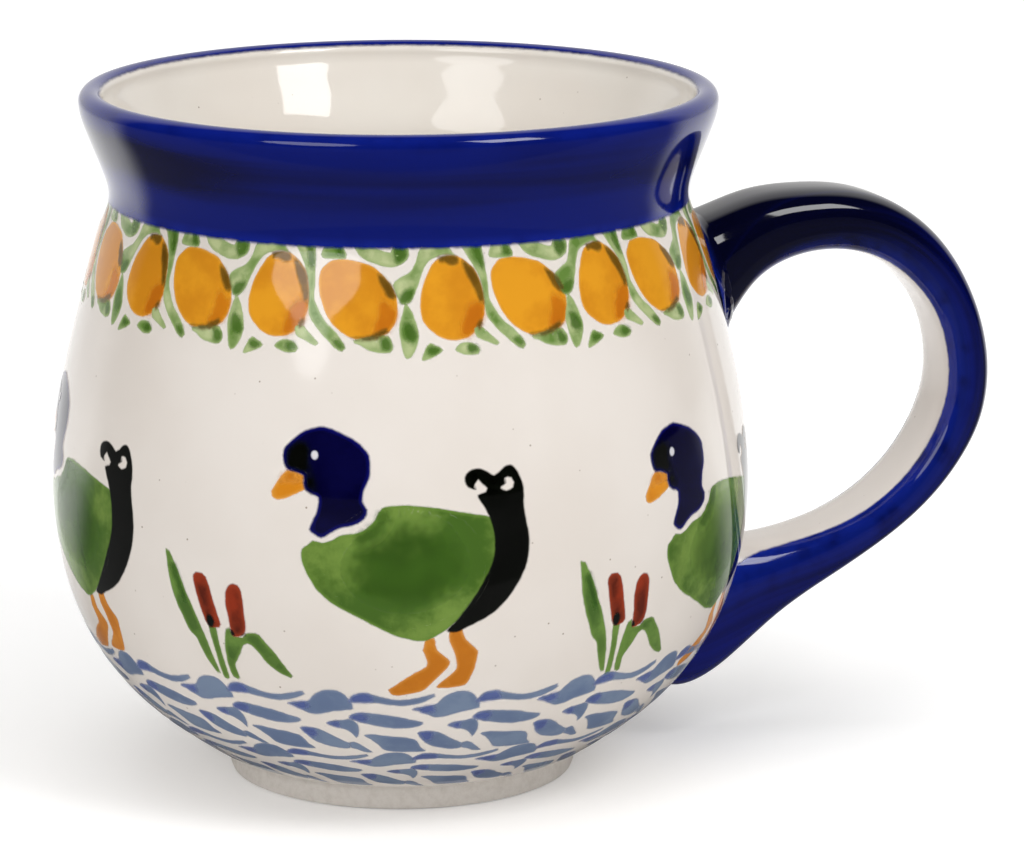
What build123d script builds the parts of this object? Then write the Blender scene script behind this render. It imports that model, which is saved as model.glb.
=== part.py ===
"""A stoneware belly mug: thrown pot, strap handle, slip joints and glaze coats, in millimetres.

The mug stands on z = 0 with its axis on Z. The handle points along +X.
Profiles are drawn in the XZ plane as (radius, height).
"""

from build123d import *
import os

os.makedirs("parts", exist_ok=True)

# Driving dimensions
HEIGHT = 90.0
BELLY_RADIUS = 45.2
WAIST_RADIUS = 37.25
RIM_RADIUS = 40.9
LIP_RADIUS = 1.5
FOOT_RADIUS = 22.6
FOOT_HEIGHT = 3.2
RECESS_RADIUS = 18.6
RECESS_DEPTH = 2.6
FLOOR_HEIGHT = 6.3
HANDLE_REACH = 80.75
HANDLE_WIDTH = 13.0
GRIP_WIDTH = 9.2
GLAZE = 0.3
LUTING = 0.8

# Heights that part the pot into its zones
BELLY_HEIGHT = 37.5
WAIST_HEIGHT = 76.4
LIP_HEIGHT = HEIGHT - LIP_RADIUS
LIP_CENTRE = (RIM_RADIUS - LIP_RADIUS, LIP_HEIGHT)

# The cobalt runs over the lip and stops this far round it, in degrees from the outside
COBALT_END = 130.0

# Handle edges are rounded more on its back than on the side that the fingers touch
BACK_ROUNDING = 3.4
GRIP_ROUNDING = 1.5
GRIP_BAND = 0.9

# Foot ring
FOOT_CHAMFER = 0.7
FOOT_INNER_CHAMFER = 1.2

# How many points carry a shifted curve
PROFILE_POINTS = 18
STRAP_POINTS = 26

# Edges this near the strap's sides lie on them
SIDE_TOLERANCE = 0.01

UP = (0, 1)
DOWN = (0, -1)
INWARD = (-1, 0)


def beside(curve, distance, count=PROFILE_POINTS):
    """A spline that runs beside a curve, a distance to its left."""
    steps = [i / (count - 1) for i in range(count)]
    tangents = [curve % step for step in steps]
    points = [curve @ s + Vector(-t.Y, t.X) * distance for s, t in zip(steps, tangents)]
    return Spline(*points, tangents=(tangents[0], tangents[-1]))


# The glazed surface of the pot, from the foot up the outside, over the lip and down the inside.
# Clay lies to the left of this path.
belly = Spline(
    (FOOT_RADIUS + GLAZE, FOOT_HEIGHT),
    (27.3, 5.5),
    (35.4, 12.0),
    (42.5, 23.0),
    (BELLY_RADIUS, BELLY_HEIGHT),
    (43.7, 53.0),
    (40.4, 66.0),
    (38.25, 73.0),
    (WAIST_RADIUS, WAIST_HEIGHT),
    tangents=((1, 0.25), UP),
)
collar = Spline(
    (WAIST_RADIUS, WAIST_HEIGHT),
    (38.1, 80.0),
    (40.05, 85.0),
    (RIM_RADIUS, LIP_HEIGHT),
    tangents=(UP, UP),
)
lip_cobalt = CenterArc(LIP_CENTRE, LIP_RADIUS, 0, COBALT_END)
lip_liner = CenterArc(LIP_CENTRE, LIP_RADIUS, COBALT_END, 180 - COBALT_END)
inside = Spline(
    (RIM_RADIUS - 2 * LIP_RADIUS, LIP_HEIGHT),
    (36.9, 85.0),
    (34.5, 80.0),
    (33.6, 76.4),
    (34.9, 72.5),
    (37.0, 66.0),
    (40.2, 53.0),
    (41.5, 38.0),
    (38.6, 23.0),
    (32.5, 13.0),
    (24.0, 8.0),
    (12.0, 6.5),
    (0, FLOOR_HEIGHT),
    tangents=(DOWN, INWARD),
)

# The clay under the glaze
clay_belly = beside(belly, GLAZE)
clay_collar = beside(collar, GLAZE)
clay_lip_cobalt = CenterArc(LIP_CENTRE, LIP_RADIUS - GLAZE, 0, COBALT_END)
clay_lip_liner = CenterArc(LIP_CENTRE, LIP_RADIUS - GLAZE, COBALT_END, 180 - COBALT_END)
clay_inside = beside(inside, GLAZE)
clay_ceiling = RECESS_DEPTH + GLAZE


# The pot: belly, waist, flared collar, rounded lip and a bare foot ring
with BuildPart() as stoneware_body:
    with BuildSketch(Plane.XZ):
        with BuildLine():
            add([clay_belly, clay_collar, clay_lip_cobalt, clay_lip_liner, clay_inside])
            Polyline(
                clay_inside @ 1,
                (0, clay_ceiling),
                (RECESS_RADIUS, clay_ceiling),
                (RECESS_RADIUS, FOOT_INNER_CHAMFER),
                (RECESS_RADIUS + FOOT_INNER_CHAMFER / 2, 0),
                (FOOT_RADIUS - FOOT_CHAMFER, 0),
                (FOOT_RADIUS, FOOT_CHAMFER),
                (FOOT_RADIUS, FOOT_HEIGHT - GLAZE),
                clay_belly @ 0,
            )
        make_face()
    revolve(axis=Axis.Z)

# The whole space inside the clay's outer surface, which trims the handle
with BuildPart() as clay_envelope:
    with BuildSketch(Plane.XZ):
        with BuildLine():
            add([clay_belly, clay_collar])
            Polyline(clay_collar @ 1, (0, LIP_HEIGHT), (0, (clay_belly @ 0).Y), clay_belly @ 0)
        make_face()
    revolve(axis=Axis.Z)

# The same space with the slip joint's thickness on it
luting_belly = beside(belly, GLAZE - LUTING)
with BuildPart() as luting_envelope:
    with BuildSketch(Plane.XZ):
        with BuildLine():
            add(luting_belly)
            Polyline(
                luting_belly @ 1,
                (0, (luting_belly @ 1).Y),
                (0, (luting_belly @ 0).Y),
                luting_belly @ 0,
            )
        make_face()
    revolve(axis=Axis.Z)

# The strap handle's back, from inside the pot's wall round to inside it again
handle_back = Spline(
    (35.0, 68.9),
    (42.2, 71.6),
    (48.7, 73.6),
    (55.5, 74.1),
    (62.0, 73.5),
    (67.8, 71.3),
    (73.3, 67.0),
    (77.3, 61.2),
    (79.9, 54.5),
    (HANDLE_REACH, 48.5),
    (79.9, 42.3),
    (77.3, 37.0),
    (72.8, 31.5),
    (66.8, 26.6),
    (59.0, 21.7),
    (51.0, 16.6),
    (45.2, 11.8),
    (41.0, 8.9),
    (36.5, 7.8),
    (31.0, 9.2),
)
# The side that the fingers touch, the other way round, so that clay lies to the right of both curves
handle_grip = Spline(
    (41.0, 25.2),
    (50.5, 25.6),
    (57.0, 27.3),
    (63.0, 30.2),
    (68.5, 34.8),
    (72.5, 40.5),
    (74.3, 46.5),
    (74.2, 51.8),
    (72.4, 57.0),
    (68.5, 61.7),
    (63.5, 64.7),
    (58.0, 65.8),
    (52.5, 65.1),
    (48.0, 62.0),
    (45.0, 57.5),
    (43.4, 53.5),
    (41.5, 49.5),
)


def strap(back, grip, width, back_rounding, grip_rounding):
    """A strap between two curves, rounded along its four long edges."""
    with BuildPart() as solid:
        with BuildSketch(Plane.XZ):
            with BuildLine():
                add([back, grip])
                Line(grip @ 1, back @ 0)
                Line(back @ 1, grip @ 0)
            make_face()
        extrude(amount=width / 2, both=True)
        side = width / 2 - SIDE_TOLERANCE
        side_edges = solid.edges().filter_by(lambda e: abs(e.center().Y) > side)
        long_edges = side_edges.sort_by(SortBy.LENGTH)[-4:]
        fillet(long_edges[2:], back_rounding)
        fillet(long_edges[:2], grip_rounding)
    return solid.part


glazed_strap = strap(handle_back, handle_grip, HANDLE_WIDTH, BACK_ROUNDING, GRIP_ROUNDING)
clay_strap = strap(
    beside(handle_back, -GLAZE, STRAP_POINTS),
    beside(handle_grip, -GLAZE, STRAP_POINTS),
    HANDLE_WIDTH - 2 * GLAZE,
    BACK_ROUNDING - GLAZE,
    GRIP_ROUNDING - GLAZE,
)

# The band along the strap's inner face that the cobalt leaves bare
with BuildPart() as grip_band:
    with BuildSketch(Plane.XZ):
        with BuildLine():
            band_hole_side = beside(handle_grip, GRIP_BAND, STRAP_POINTS)
            band_clay_side = beside(handle_grip, -GRIP_BAND, STRAP_POINTS)
            Line(band_hole_side @ 0, band_clay_side @ 0)
            Line(band_hole_side @ 1, band_clay_side @ 1)
        make_face()
    extrude(amount=GRIP_WIDTH / 2, both=True)

# The strap handle, which stops short of the pot by the slip joint's thickness
with BuildPart() as handle:
    add(clay_strap)
    add(luting_envelope.part, mode=Mode.SUBTRACT)

# The slip joints fill that gap at the two roots
with BuildPart() as luting:
    add(clay_strap)
    add(luting_envelope.part, mode=Mode.INTERSECT)
    add(clay_envelope.part, mode=Mode.SUBTRACT)

with BuildPart() as upper_luting:
    add(luting.solids().sort_by(Axis.Z)[-1])
with BuildPart() as lower_luting:
    add(luting.solids().sort_by(Axis.Z)[0])


def coat(curves, clay_curves):
    """The profile of a glaze coat between two runs of curves."""
    with BuildSketch(Plane.XZ) as profile:
        with BuildLine():
            add([*curves, *clay_curves])
            Line(curves[0] @ 0, clay_curves[0] @ 0)
            Line(curves[-1] @ 1, clay_curves[-1] @ 1)
        make_face()
    return profile.sketch


# The clear coat over the belly, with the handle's two roots standing through it
with BuildPart() as belly_glaze:
    revolve(coat([belly], [clay_belly]), axis=Axis.Z)
    add(glazed_strap, mode=Mode.SUBTRACT)

# The cobalt coat on the collar and over the lip
with BuildPart() as collar_glaze:
    revolve(coat([collar, lip_cobalt], [clay_collar, clay_lip_cobalt]), axis=Axis.Z)

# The clear coat inside the pot, closed at the middle of the floor
with BuildPart() as liner_glaze:
    revolve(coat([lip_liner, inside], [clay_lip_liner, clay_inside]), axis=Axis.Z)

# The clear coat in the recess inside the foot ring
with BuildPart() as base_glaze:
    with BuildSketch(Plane.XY.offset(RECESS_DEPTH)):
        Circle(RECESS_RADIUS)
    extrude(amount=GLAZE)

# The cobalt coat on the handle's back and sides
with BuildPart() as handle_glaze:
    add(glazed_strap)
    add([clay_strap, grip_band.part, clay_envelope.part], mode=Mode.SUBTRACT)

# The clear coat on the handle's inner face
with BuildPart() as handle_grip_glaze:
    add(glazed_strap)
    add(grip_band.part, mode=Mode.INTERSECT)
    add([clay_strap, clay_envelope.part], mode=Mode.SUBTRACT)

for name, piece in (
    ("stoneware_body", stoneware_body),
    ("handle", handle),
    ("upper_luting", upper_luting),
    ("lower_luting", lower_luting),
    ("liner_glaze", liner_glaze),
    ("belly_glaze", belly_glaze),
    ("collar_glaze", collar_glaze),
    ("handle_glaze", handle_glaze),
    ("handle_grip_glaze", handle_grip_glaze),
    ("base_glaze", base_glaze),
):
    piece.part.label = name
    export_step(piece.part, f"parts/{name}.step")
    print(name, len(piece.solids()), round(piece.part.volume, 1))
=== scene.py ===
"""Studio model of a hand-painted stoneware mug.

A thrown belly under clear glaze, a cobalt collar over the lip, a pulled strap handle and a stamped
pond scene of ducks, reeds, fruit and water. Lengths are millimetres until a mesh is written, and
metres in every mesh.
"""

from __future__ import annotations

import logging
import math
from dataclasses import dataclass, field
from enum import Enum

import bmesh
import bpy
import numpy as np
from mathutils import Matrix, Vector, noise
from mathutils.geometry import delaunay_2d_cdt

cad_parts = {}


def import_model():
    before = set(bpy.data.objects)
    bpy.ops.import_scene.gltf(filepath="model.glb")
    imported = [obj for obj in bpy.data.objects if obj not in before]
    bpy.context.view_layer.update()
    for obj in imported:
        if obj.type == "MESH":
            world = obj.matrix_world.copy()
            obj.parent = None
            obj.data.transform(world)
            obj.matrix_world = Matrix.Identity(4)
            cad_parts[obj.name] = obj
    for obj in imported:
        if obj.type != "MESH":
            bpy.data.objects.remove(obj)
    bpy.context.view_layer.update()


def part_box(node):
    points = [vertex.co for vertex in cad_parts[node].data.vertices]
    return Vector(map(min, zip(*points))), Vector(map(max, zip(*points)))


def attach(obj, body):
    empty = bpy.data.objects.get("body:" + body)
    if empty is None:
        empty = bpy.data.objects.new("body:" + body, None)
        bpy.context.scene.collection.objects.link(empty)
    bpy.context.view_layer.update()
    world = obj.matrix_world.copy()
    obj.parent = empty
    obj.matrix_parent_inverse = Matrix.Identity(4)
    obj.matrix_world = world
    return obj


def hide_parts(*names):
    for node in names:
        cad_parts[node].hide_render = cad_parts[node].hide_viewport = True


log = logging.getLogger("mug")

Points = list[tuple[float, float]]

MM = 0.001
BODY = "root"
WRAP_RADIUS = 45.0  # the flat drawing's x runs along an arc of this radius
FRONT_DEG = 254.0  # direction that the middle of the drawing faces, counter-clockwise from +X
TURN = 2 * math.pi * WRAP_RADIUS  # the drawing's length right round the pot
WAIST_IN_DRAWING = 80.7  # where the waist lies in the drawing, whose y runs up along the surface
WELD = 1e-6  # corners nearer than this, in metres, are one
TINY = 1e-12  # keeps a division by a length from failing


# ---------------------------------------------------------------- lines


def spline(points: Points, start: tuple | None, end: tuple | None, step: float) -> np.ndarray:
    """Smooth line through points, bent like a drafting spline.

    Args:
        points: places that the line passes through, each of any dimension.
        start: direction at the first point, or None to leave it along the first chord.
        end: direction at the last point, or None to leave it along the last chord.
        step: spacing of the samples.

    Returns:
        The samples, one per row.
    """
    knots = np.array(points, float)
    chords = np.linalg.norm(np.diff(knots, axis=0), axis=1)
    count = len(knots)
    system, wanted = np.eye(count), np.zeros_like(knots)
    for row, slope, chord in ((0, start, 0), (count - 1, end, count - 2)):
        along = knots[chord + 1] - knots[chord] if slope is None else np.array(slope, float)
        wanted[row] = along / np.linalg.norm(along)
    for i in range(1, count - 1):
        before, after = chords[i - 1], chords[i]
        system[i, i - 1 : i + 2] = after, 2 * (before + after), before
        wanted[i] = 3 * (
            before * (knots[i + 1] - knots[i]) / after + after * (knots[i] - knots[i - 1]) / before
        )
    slopes = np.linalg.solve(system, wanted)
    samples = []
    for i, chord in enumerate(chords):
        t = np.arange(0, 1, 1 / max(1, round(chord / step)))[:, None]
        samples.append(
            (2 * t**3 - 3 * t**2 + 1) * knots[i]
            + (t**3 - 2 * t**2 + t) * chord * slopes[i]
            + (3 * t**2 - 2 * t**3) * knots[i + 1]
            + (t**3 - t**2) * chord * slopes[i + 1]
        )
    return np.vstack([*samples, knots[-1:]])


def loop(points: Points, step: float) -> np.ndarray:
    """Smooth closed outline through points, sampled about every step, counter-clockwise."""
    ring = np.array(points, float)
    knots = np.vstack([ring[-1:], ring, ring[:2]])
    samples = []
    for i in range(1, len(knots) - 2):
        a, b, c, d = knots[i - 1 : i + 3]
        t = np.arange(0, 1, 1 / max(1, round(np.linalg.norm(c - b) / step)))[:, None]
        samples.append(
            0.5
            * (
                2 * b
                + (c - a) * t
                + (2 * a - 5 * b + 4 * c - d) * t**2
                + (3 * b - a - 3 * c + d) * t**3
            )
        )
    line = np.vstack(samples)
    x, y = line.T
    area = np.dot(x, np.roll(y, -1)) - np.dot(y, np.roll(x, -1))
    return line if area > 0 else line[::-1]


def length_along(line: np.ndarray) -> np.ndarray:
    """How far along an open line each of its points is."""
    return np.concatenate([[0], np.cumsum(np.linalg.norm(np.diff(line, axis=0), axis=1))])


def beside(line: np.ndarray, distance: float) -> np.ndarray:
    """An open line shifted to its left by distance."""
    along = np.gradient(line, axis=0)
    along /= np.maximum(np.linalg.norm(along, axis=1, keepdims=True), TINY)
    return line + distance * np.column_stack([-along[:, 1], along[:, 0]])


def inset(outline: np.ndarray, distance: float) -> np.ndarray:
    """A closed counter-clockwise outline moved inwards, or outwards by a negative distance."""
    along = np.roll(outline, -1, axis=0) - np.roll(outline, 1, axis=0)
    along /= np.maximum(np.linalg.norm(along, axis=1, keepdims=True), TINY)
    return outline + distance * np.column_stack([-along[:, 1], along[:, 0]])


def depth_inside(spots: np.ndarray, outline: np.ndarray) -> np.ndarray:
    """How far each spot lies inside a closed outline, negative outside it."""
    a, b = outline, np.roll(outline, -1, axis=0)
    span = b - a
    away = spots[:, None] - a[None]
    t = np.clip((away * span).sum(2) / np.maximum((span * span).sum(1), TINY), 0, 1)
    reach = np.linalg.norm(away - t[..., None] * span, axis=2).min(1)
    rises = (a[:, 1] > spots[:, None, 1]) != (b[:, 1] > spots[:, None, 1])
    height = np.where(span[:, 1] == 0, TINY, span[:, 1])
    crossing = a[:, 0] + (spots[:, None, 1] - a[:, 1]) * span[:, 0] / height
    inside = (rises & (spots[:, None, 0] < crossing)).sum(1) % 2 == 1
    return np.where(inside, reach, -reach)


# ---------------------------------------------------------------- nodes


class NodeKit:
    """Short calls for adding and linking the nodes of one tree."""

    def __init__(self, tree: bpy.types.NodeTree) -> None:
        """Keeps the tree that add() works on."""
        self.tree = tree

    def add(
        self, kind: str, *values: object, props: dict | None = None, **named: object
    ) -> bpy.types.Node:
        """Adds a node and fills its inputs.

        Args:
            kind: the node's type.
            *values: inputs in order; None leaves one as it is, and a socket is linked.
            props: the node's own settings.
            **named: inputs by name, with underscores for spaces.

        Returns:
            The node.
        """
        node = self.tree.nodes.new(kind)
        for key, value in (props or {}).items():
            setattr(node, key, value)
        for socket, value in zip(node.inputs, values):
            self.put(socket, value)
        for key, value in named.items():
            self.put(node.inputs[key.replace("_", " ")], value)
        return node

    def put(self, socket: bpy.types.NodeSocket, value: object) -> None:
        """Links value to a socket if it is one itself, or else sets it there."""
        if isinstance(value, bpy.types.NodeSocket):
            self.tree.links.new(value, socket)
        elif value is not None:
            socket.default_value = value

    def maths(self, operation: str, *values: object) -> bpy.types.NodeSocket:
        """The result of a Math node."""
        return self.add("ShaderNodeMath", *values, props={"operation": operation}).outputs[0]

    def blend(self, factor: object, first: object, second: object) -> bpy.types.NodeSocket:
        """A colour that goes from first to second with factor."""
        node = self.add("ShaderNodeMix", props={"data_type": "RGBA"})
        for key, value in ((0, factor), (6, first), (7, second)):
            self.put(node.inputs[key], value)
        return node.outputs[2]

    def span(self, *values: object, smooth: bool = False) -> bpy.types.NodeSocket:
        """A value taken from one range to another.

        Args:
            *values: the value, the range it comes from, and the range it goes to.
            smooth: whether it eases in and out; it stays inside the second range either way.

        Returns:
            The result.
        """
        settings = {"interpolation_type": "SMOOTHSTEP" if smooth else "LINEAR"}
        return self.add("ShaderNodeMapRange", *values, props=settings).outputs[0]

    def ramp(self, value: object, low: float, high: float) -> bpy.types.NodeSocket:
        """A value that eases from 0 to 1 as another goes from low to high."""
        return self.span(value, low, high, 0.0, 1.0, smooth=True)

    def attribute(self, name: str) -> bpy.types.NodeSocket:
        """The value of a shader's mesh attribute."""
        node = self.add("ShaderNodeAttribute", props={"attribute_name": name})
        return node.outputs["Fac"]

    def place(self) -> bpy.types.NodeSocket:
        """Where a shaded spot lies on the object."""
        return self.add("ShaderNodeTexCoord").outputs["Object"]

    def noise(
        self, place: object, scale: object, detail: float = 2.0, rough: float = 0.5
    ) -> bpy.types.NodeSocket:
        """The value of a noise texture.

        Args:
            place: where it is looked up.
            scale: how fine it is, per unit of place.
            detail: octaves on top of the first.
            rough: how strong they are.

        Returns:
            The value.
        """
        values = {"Scale": scale, "Detail": detail, "Roughness": rough}
        return self.add("ShaderNodeTexNoise", place, **values).outputs[0]

    def joined(self, x: object, y: object, z: object) -> bpy.types.NodeSocket:
        """A vector from its three parts."""
        return self.add("ShaderNodeCombineXYZ", x, y, z).outputs[0]

    def parted(self, vector: object) -> bpy.types.bpy_prop_collection:
        """The three parts of a vector."""
        return self.add("ShaderNodeSeparateXYZ", vector).outputs

    def vector_maths(self, operation: str, *values: object) -> bpy.types.NodeSocket:
        """The number that a Vector Math node gives."""
        node = self.add("ShaderNodeVectorMath", *values, props={"operation": operation})
        return node.outputs["Value"]

    def group(self, tree: bpy.types.NodeTree, **named: object) -> bpy.types.NodeSocket:
        """The first output of a node group."""
        return self.add("ShaderNodeGroup", props={"node_tree": tree}, **named).outputs[0]


def new_tree(
    name: str, kind: str, inputs: dict, outputs: dict
) -> tuple[NodeKit, dict, bpy.types.Node]:
    """Starts a node group.

    Args:
        name: the group's name.
        kind: its tree type.
        inputs: socket type by input name.
        outputs: socket type by output name.
    """
    tree = bpy.data.node_groups.new(name, kind)
    for side, sockets in (("INPUT", inputs), ("OUTPUT", outputs)):
        for label, socket_type in sockets.items():
            tree.interface.new_socket(name=label, in_out=side, socket_type=socket_type)
    kit = NodeKit(tree)
    given = kit.add("NodeGroupInput").outputs
    return kit, {label: given[label] for label in inputs}, kit.add("NodeGroupOutput")


FLOAT, COLOUR = "NodeSocketFloat", "NodeSocketColor"
GEOMETRY, INTEGER = "NodeSocketGeometry", "NodeSocketInt"
MATERIAL, OBJECT = "NodeSocketMaterial", "NodeSocketObject"


# ---------------------------------------------------------------- finishes


def tone(red: int, green: int, blue: int) -> tuple[float, float, float, float]:
    """A colour given as displayed, 0 to 255, as linear values."""
    linear = [
        c / 12.92 if c <= 0.04045 else ((c + 0.055) / 1.055) ** 2.4
        for c in (red / 255, green / 255, blue / 255)
    ]
    return (*linear, 1.0)


class Effects:
    """The shader effects that several finishes share, each one node group."""

    def __init__(self) -> None:
        """Builds the groups."""
        self.relief = self._relief()
        self.bleed = self._bleed()
        self.wash = self._wash()
        self.specks = self._specks()

    @staticmethod
    def _relief() -> bpy.types.NodeTree:
        """Orange peel of a fired glaze and the faint rings left by the thrower's fingers."""
        kit, given, out = new_tree(
            "fired_relief", "ShaderNodeTree", {"Peel": FLOAT, "Rings": FLOAT}, {"Height": FLOAT}
        )
        place = kit.place()
        peel = kit.maths("MULTIPLY", kit.noise(place, 230.0, 1.5, 0.4), given["Peel"])
        squashed = kit.add("ShaderNodeMapping", place, Scale=(14.0, 14.0, 420.0))
        rings = kit.maths("MULTIPLY", kit.noise(squashed.outputs[0], 1.0), given["Rings"])
        kit.put(out.inputs["Height"], kit.maths("ADD", peel, rings))
        return kit.tree

    @staticmethod
    def _bleed() -> bpy.types.NodeTree:
        """The soft, slightly ragged edge of a pigment that has crept into the glaze."""
        kit, given, out = new_tree(
            "bled_edge", "ShaderNodeTree", {"Cover": FLOAT, "Ragged": FLOAT}, {"Mask": FLOAT}
        )
        centred = kit.maths("SUBTRACT", kit.noise(kit.place(), 1100.0), 0.5)
        moved = kit.maths("MULTIPLY_ADD", centred, given["Ragged"], given["Cover"])
        kit.put(out.inputs["Mask"], kit.ramp(moved, 0.0, 1.0))
        return kit.tree

    @staticmethod
    def _wash() -> bpy.types.NodeTree:
        """A thin wash: broad pools, small mottling and a tone of its own along the edge."""
        kit, given, out = new_tree(
            "pigment_wash",
            "ShaderNodeTree",
            {"Light": COLOUR, "Dark": COLOUR, "Edge": COLOUR, "Pools": FLOAT, "Rim": FLOAT},
            {"Color": COLOUR},
        )
        place = kit.place()
        pools = kit.noise(place, given["Pools"], 1.0)
        mixed = kit.maths("MULTIPLY_ADD", kit.noise(place, 620.0, 3.0, 0.6), 0.35, pools)
        tint = kit.blend(kit.ramp(mixed, 0.5, 0.82), given["Light"], given["Dark"])
        rim = kit.span(kit.attribute("depth"), 0.0, given["Rim"], 1.0, 0.0)
        kit.put(out.inputs["Color"], kit.blend(rim, tint, given["Edge"]))
        return kit.tree

    @staticmethod
    def _specks() -> bpy.types.NodeTree:
        """A glaze ground with slow tonal drift and a few iron specks."""
        kit, given, out = new_tree(
            "iron_specks",
            "ShaderNodeTree",
            {"Ground": COLOUR, "Drift": COLOUR, "Speck": COLOUR},
            {"Color": COLOUR},
        )
        place = kit.place()
        drift = kit.ramp(kit.noise(place, 38.0, 3.0), 0.35, 0.7)
        ground = kit.blend(drift, given["Ground"], given["Drift"])
        cells = kit.add("ShaderNodeTexVoronoi", place, Scale=480.0)
        spot = kit.ramp(cells.outputs["Distance"], 0.085, 0.035)
        chance = kit.add("ShaderNodeSeparateColor", cells.outputs["Color"])
        chosen = kit.span(chance.outputs[0], 0.6, 0.94, 0.0, 1.0)
        mask = kit.maths("MULTIPLY", spot, chosen)
        kit.put(out.inputs["Color"], kit.blend(mask, ground, given["Speck"]))
        return kit.tree


@dataclass(frozen=True)
class Surface:
    """What every fired finish has: its gloss and its small relief.

    Attributes:
        roughness: blur of the reflections.
        peel: strength of the glaze's orange peel.
        rings: strength of the throwing rings.
        bump_mm: height of the relief at full strength.
    """

    roughness: float = 0.055
    peel: float = 0.5
    rings: float = 0.5
    bump_mm: float = 0.014

    def start(
        self, name: str, effects: Effects
    ) -> tuple[bpy.types.Material, NodeKit, bpy.types.Node]:
        """A new material with its Principled node and relief in place."""
        material = bpy.data.materials.new(name)
        material.use_nodes = True
        kit = NodeKit(material.node_tree)
        shader = material.node_tree.nodes["Principled BSDF"]
        shader.inputs["IOR"].default_value = 1.5
        mottle = kit.noise(kit.place(), 90.0)
        low, high = self.roughness * 0.85, self.roughness * 1.2
        kit.put(shader.inputs["Roughness"], kit.span(mottle, 0.3, 0.7, low, high))
        relief = kit.group(effects.relief, Peel=self.peel, Rings=self.rings)
        bump = kit.add("ShaderNodeBump", Distance=self.bump_mm * MM, Height=relief)
        kit.put(shader.inputs["Normal"], bump.outputs[0])
        return material, kit, shader


@dataclass(frozen=True)
class ClearGlaze(Surface):
    """Clear glaze over pale stoneware.

    Attributes:
        ground: its usual tone.
        drift: the tone it drifts to.
        speck: tone of the iron specks.
    """

    ground: tuple = tone(227, 220, 213)
    drift: tuple = tone(221, 213, 205)
    speck: tuple = tone(150, 135, 122)

    def build(self, name: str, effects: Effects) -> bpy.types.Material:
        """The material."""
        material, kit, shader = self.start(name, effects)
        tint = kit.group(effects.specks, Ground=self.ground, Drift=self.drift, Speck=self.speck)
        kit.put(shader.inputs["Base Color"], tint)
        return material


@dataclass(frozen=True)
class CobaltGlaze(Surface):
    """Brushed cobalt under gloss: bright blue where thin, near black in streaks and a painted dark
    band.

    Attributes:
        deep: its tone in the streaks and in the dark band.
        blue: its usual tone.
        thin: its tone where the coat is thin.
        ragged: how uneven its edge is.
        ground: tone of the clear glaze where no cobalt lies on it.
        band_at: height of the middle of the dark band, partly pooled cobalt, partly a painted dark
            reflection.
        band_reach: how far the band reaches to either side.
        sway: how far the band wanders up and down.
        lengthwise: whether the brush ran along a strap instead of round the pot.
    """

    roughness: float = 0.07
    deep: tuple = tone(6, 7, 48)
    blue: tuple = tone(7, 21, 104)
    thin: tuple = tone(14, 32, 132)
    ragged: float = 0.5
    ground: tuple = tone(226, 218, 208)
    band_at: float = 84.3
    band_reach: float = 4.2
    sway: float = 6.0
    lengthwise: bool = False

    def build(self, name: str, effects: Effects) -> bpy.types.Material:
        """The material. Its mesh holds the attributes cover, thin and, where clay shows, bare."""
        material, kit, shader = self.start(name, effects)
        place = kit.place()
        pools = kit.noise(place, 26.0)
        if self.lengthwise:
            streaks = kit.noise(kit.joined(kit.attribute("depth"), pools, 0.0), 0.62, 3.0)
        else:
            lying = kit.add("ShaderNodeMapping", place, Scale=(9.0, 9.0, 330.0))
            streaks = kit.noise(lying.outputs[0], 1.0, 3.0)
        # A patchy, swaying dark band at a set height: partly pooled cobalt, partly a painted dark
        # reflection.
        swayed = kit.maths("MULTIPLY_ADD", pools, self.sway * MM, kit.parted(place)[2])
        middle = (self.band_at + self.sway / 2) * MM
        off_band = kit.maths("ABSOLUTE", kit.maths("SUBTRACT", swayed, middle))
        reach = self.band_reach * MM
        patches = kit.span(kit.noise(place, 17.0, 1.0), 0.35, 0.62, 0.45, 1.0)
        band = kit.maths("MULTIPLY", kit.ramp(off_band, reach, reach * 0.25), patches)
        uneven = kit.maths("MULTIPLY_ADD", streaks, 1.3, band)
        streaked_and_shaded = kit.blend(kit.ramp(uneven, 0.65, 1.6), self.blue, self.deep)
        flecks = kit.ramp(kit.noise(place, 260.0), 0.2, 0.6)
        worn = kit.maths("MULTIPLY", kit.attribute("thin"), flecks)
        painted = kit.blend(worn, streaked_and_shaded, self.thin)
        tint = kit.blend(kit.attribute("bare"), painted, self.ground)
        kit.put(shader.inputs["Base Color"], tint)
        edge = kit.group(effects.bleed, Cover=kit.attribute("cover"), Ragged=self.ragged)
        kit.put(shader.inputs["Alpha"], edge)
        return material


@dataclass(frozen=True)
class BareClay(Surface):
    """Unglazed fired stoneware.

    Attributes:
        pale: its usual tone.
        dark: tone of its coarser grains.
    """

    roughness: float = 0.75
    peel: float = 1.0
    rings: float = 0.6
    bump_mm: float = 0.05
    pale: tuple = tone(235, 229, 222)
    dark: tuple = tone(223, 216, 208)

    def build(self, name: str, effects: Effects) -> bpy.types.Material:
        """The material."""
        material, kit, shader = self.start(name, effects)
        mask = kit.ramp(kit.noise(kit.place(), 900.0, 4.0, 0.7), 0.35, 0.75)
        kit.put(shader.inputs["Base Color"], kit.blend(mask, self.pale, self.dark))
        return material


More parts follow.
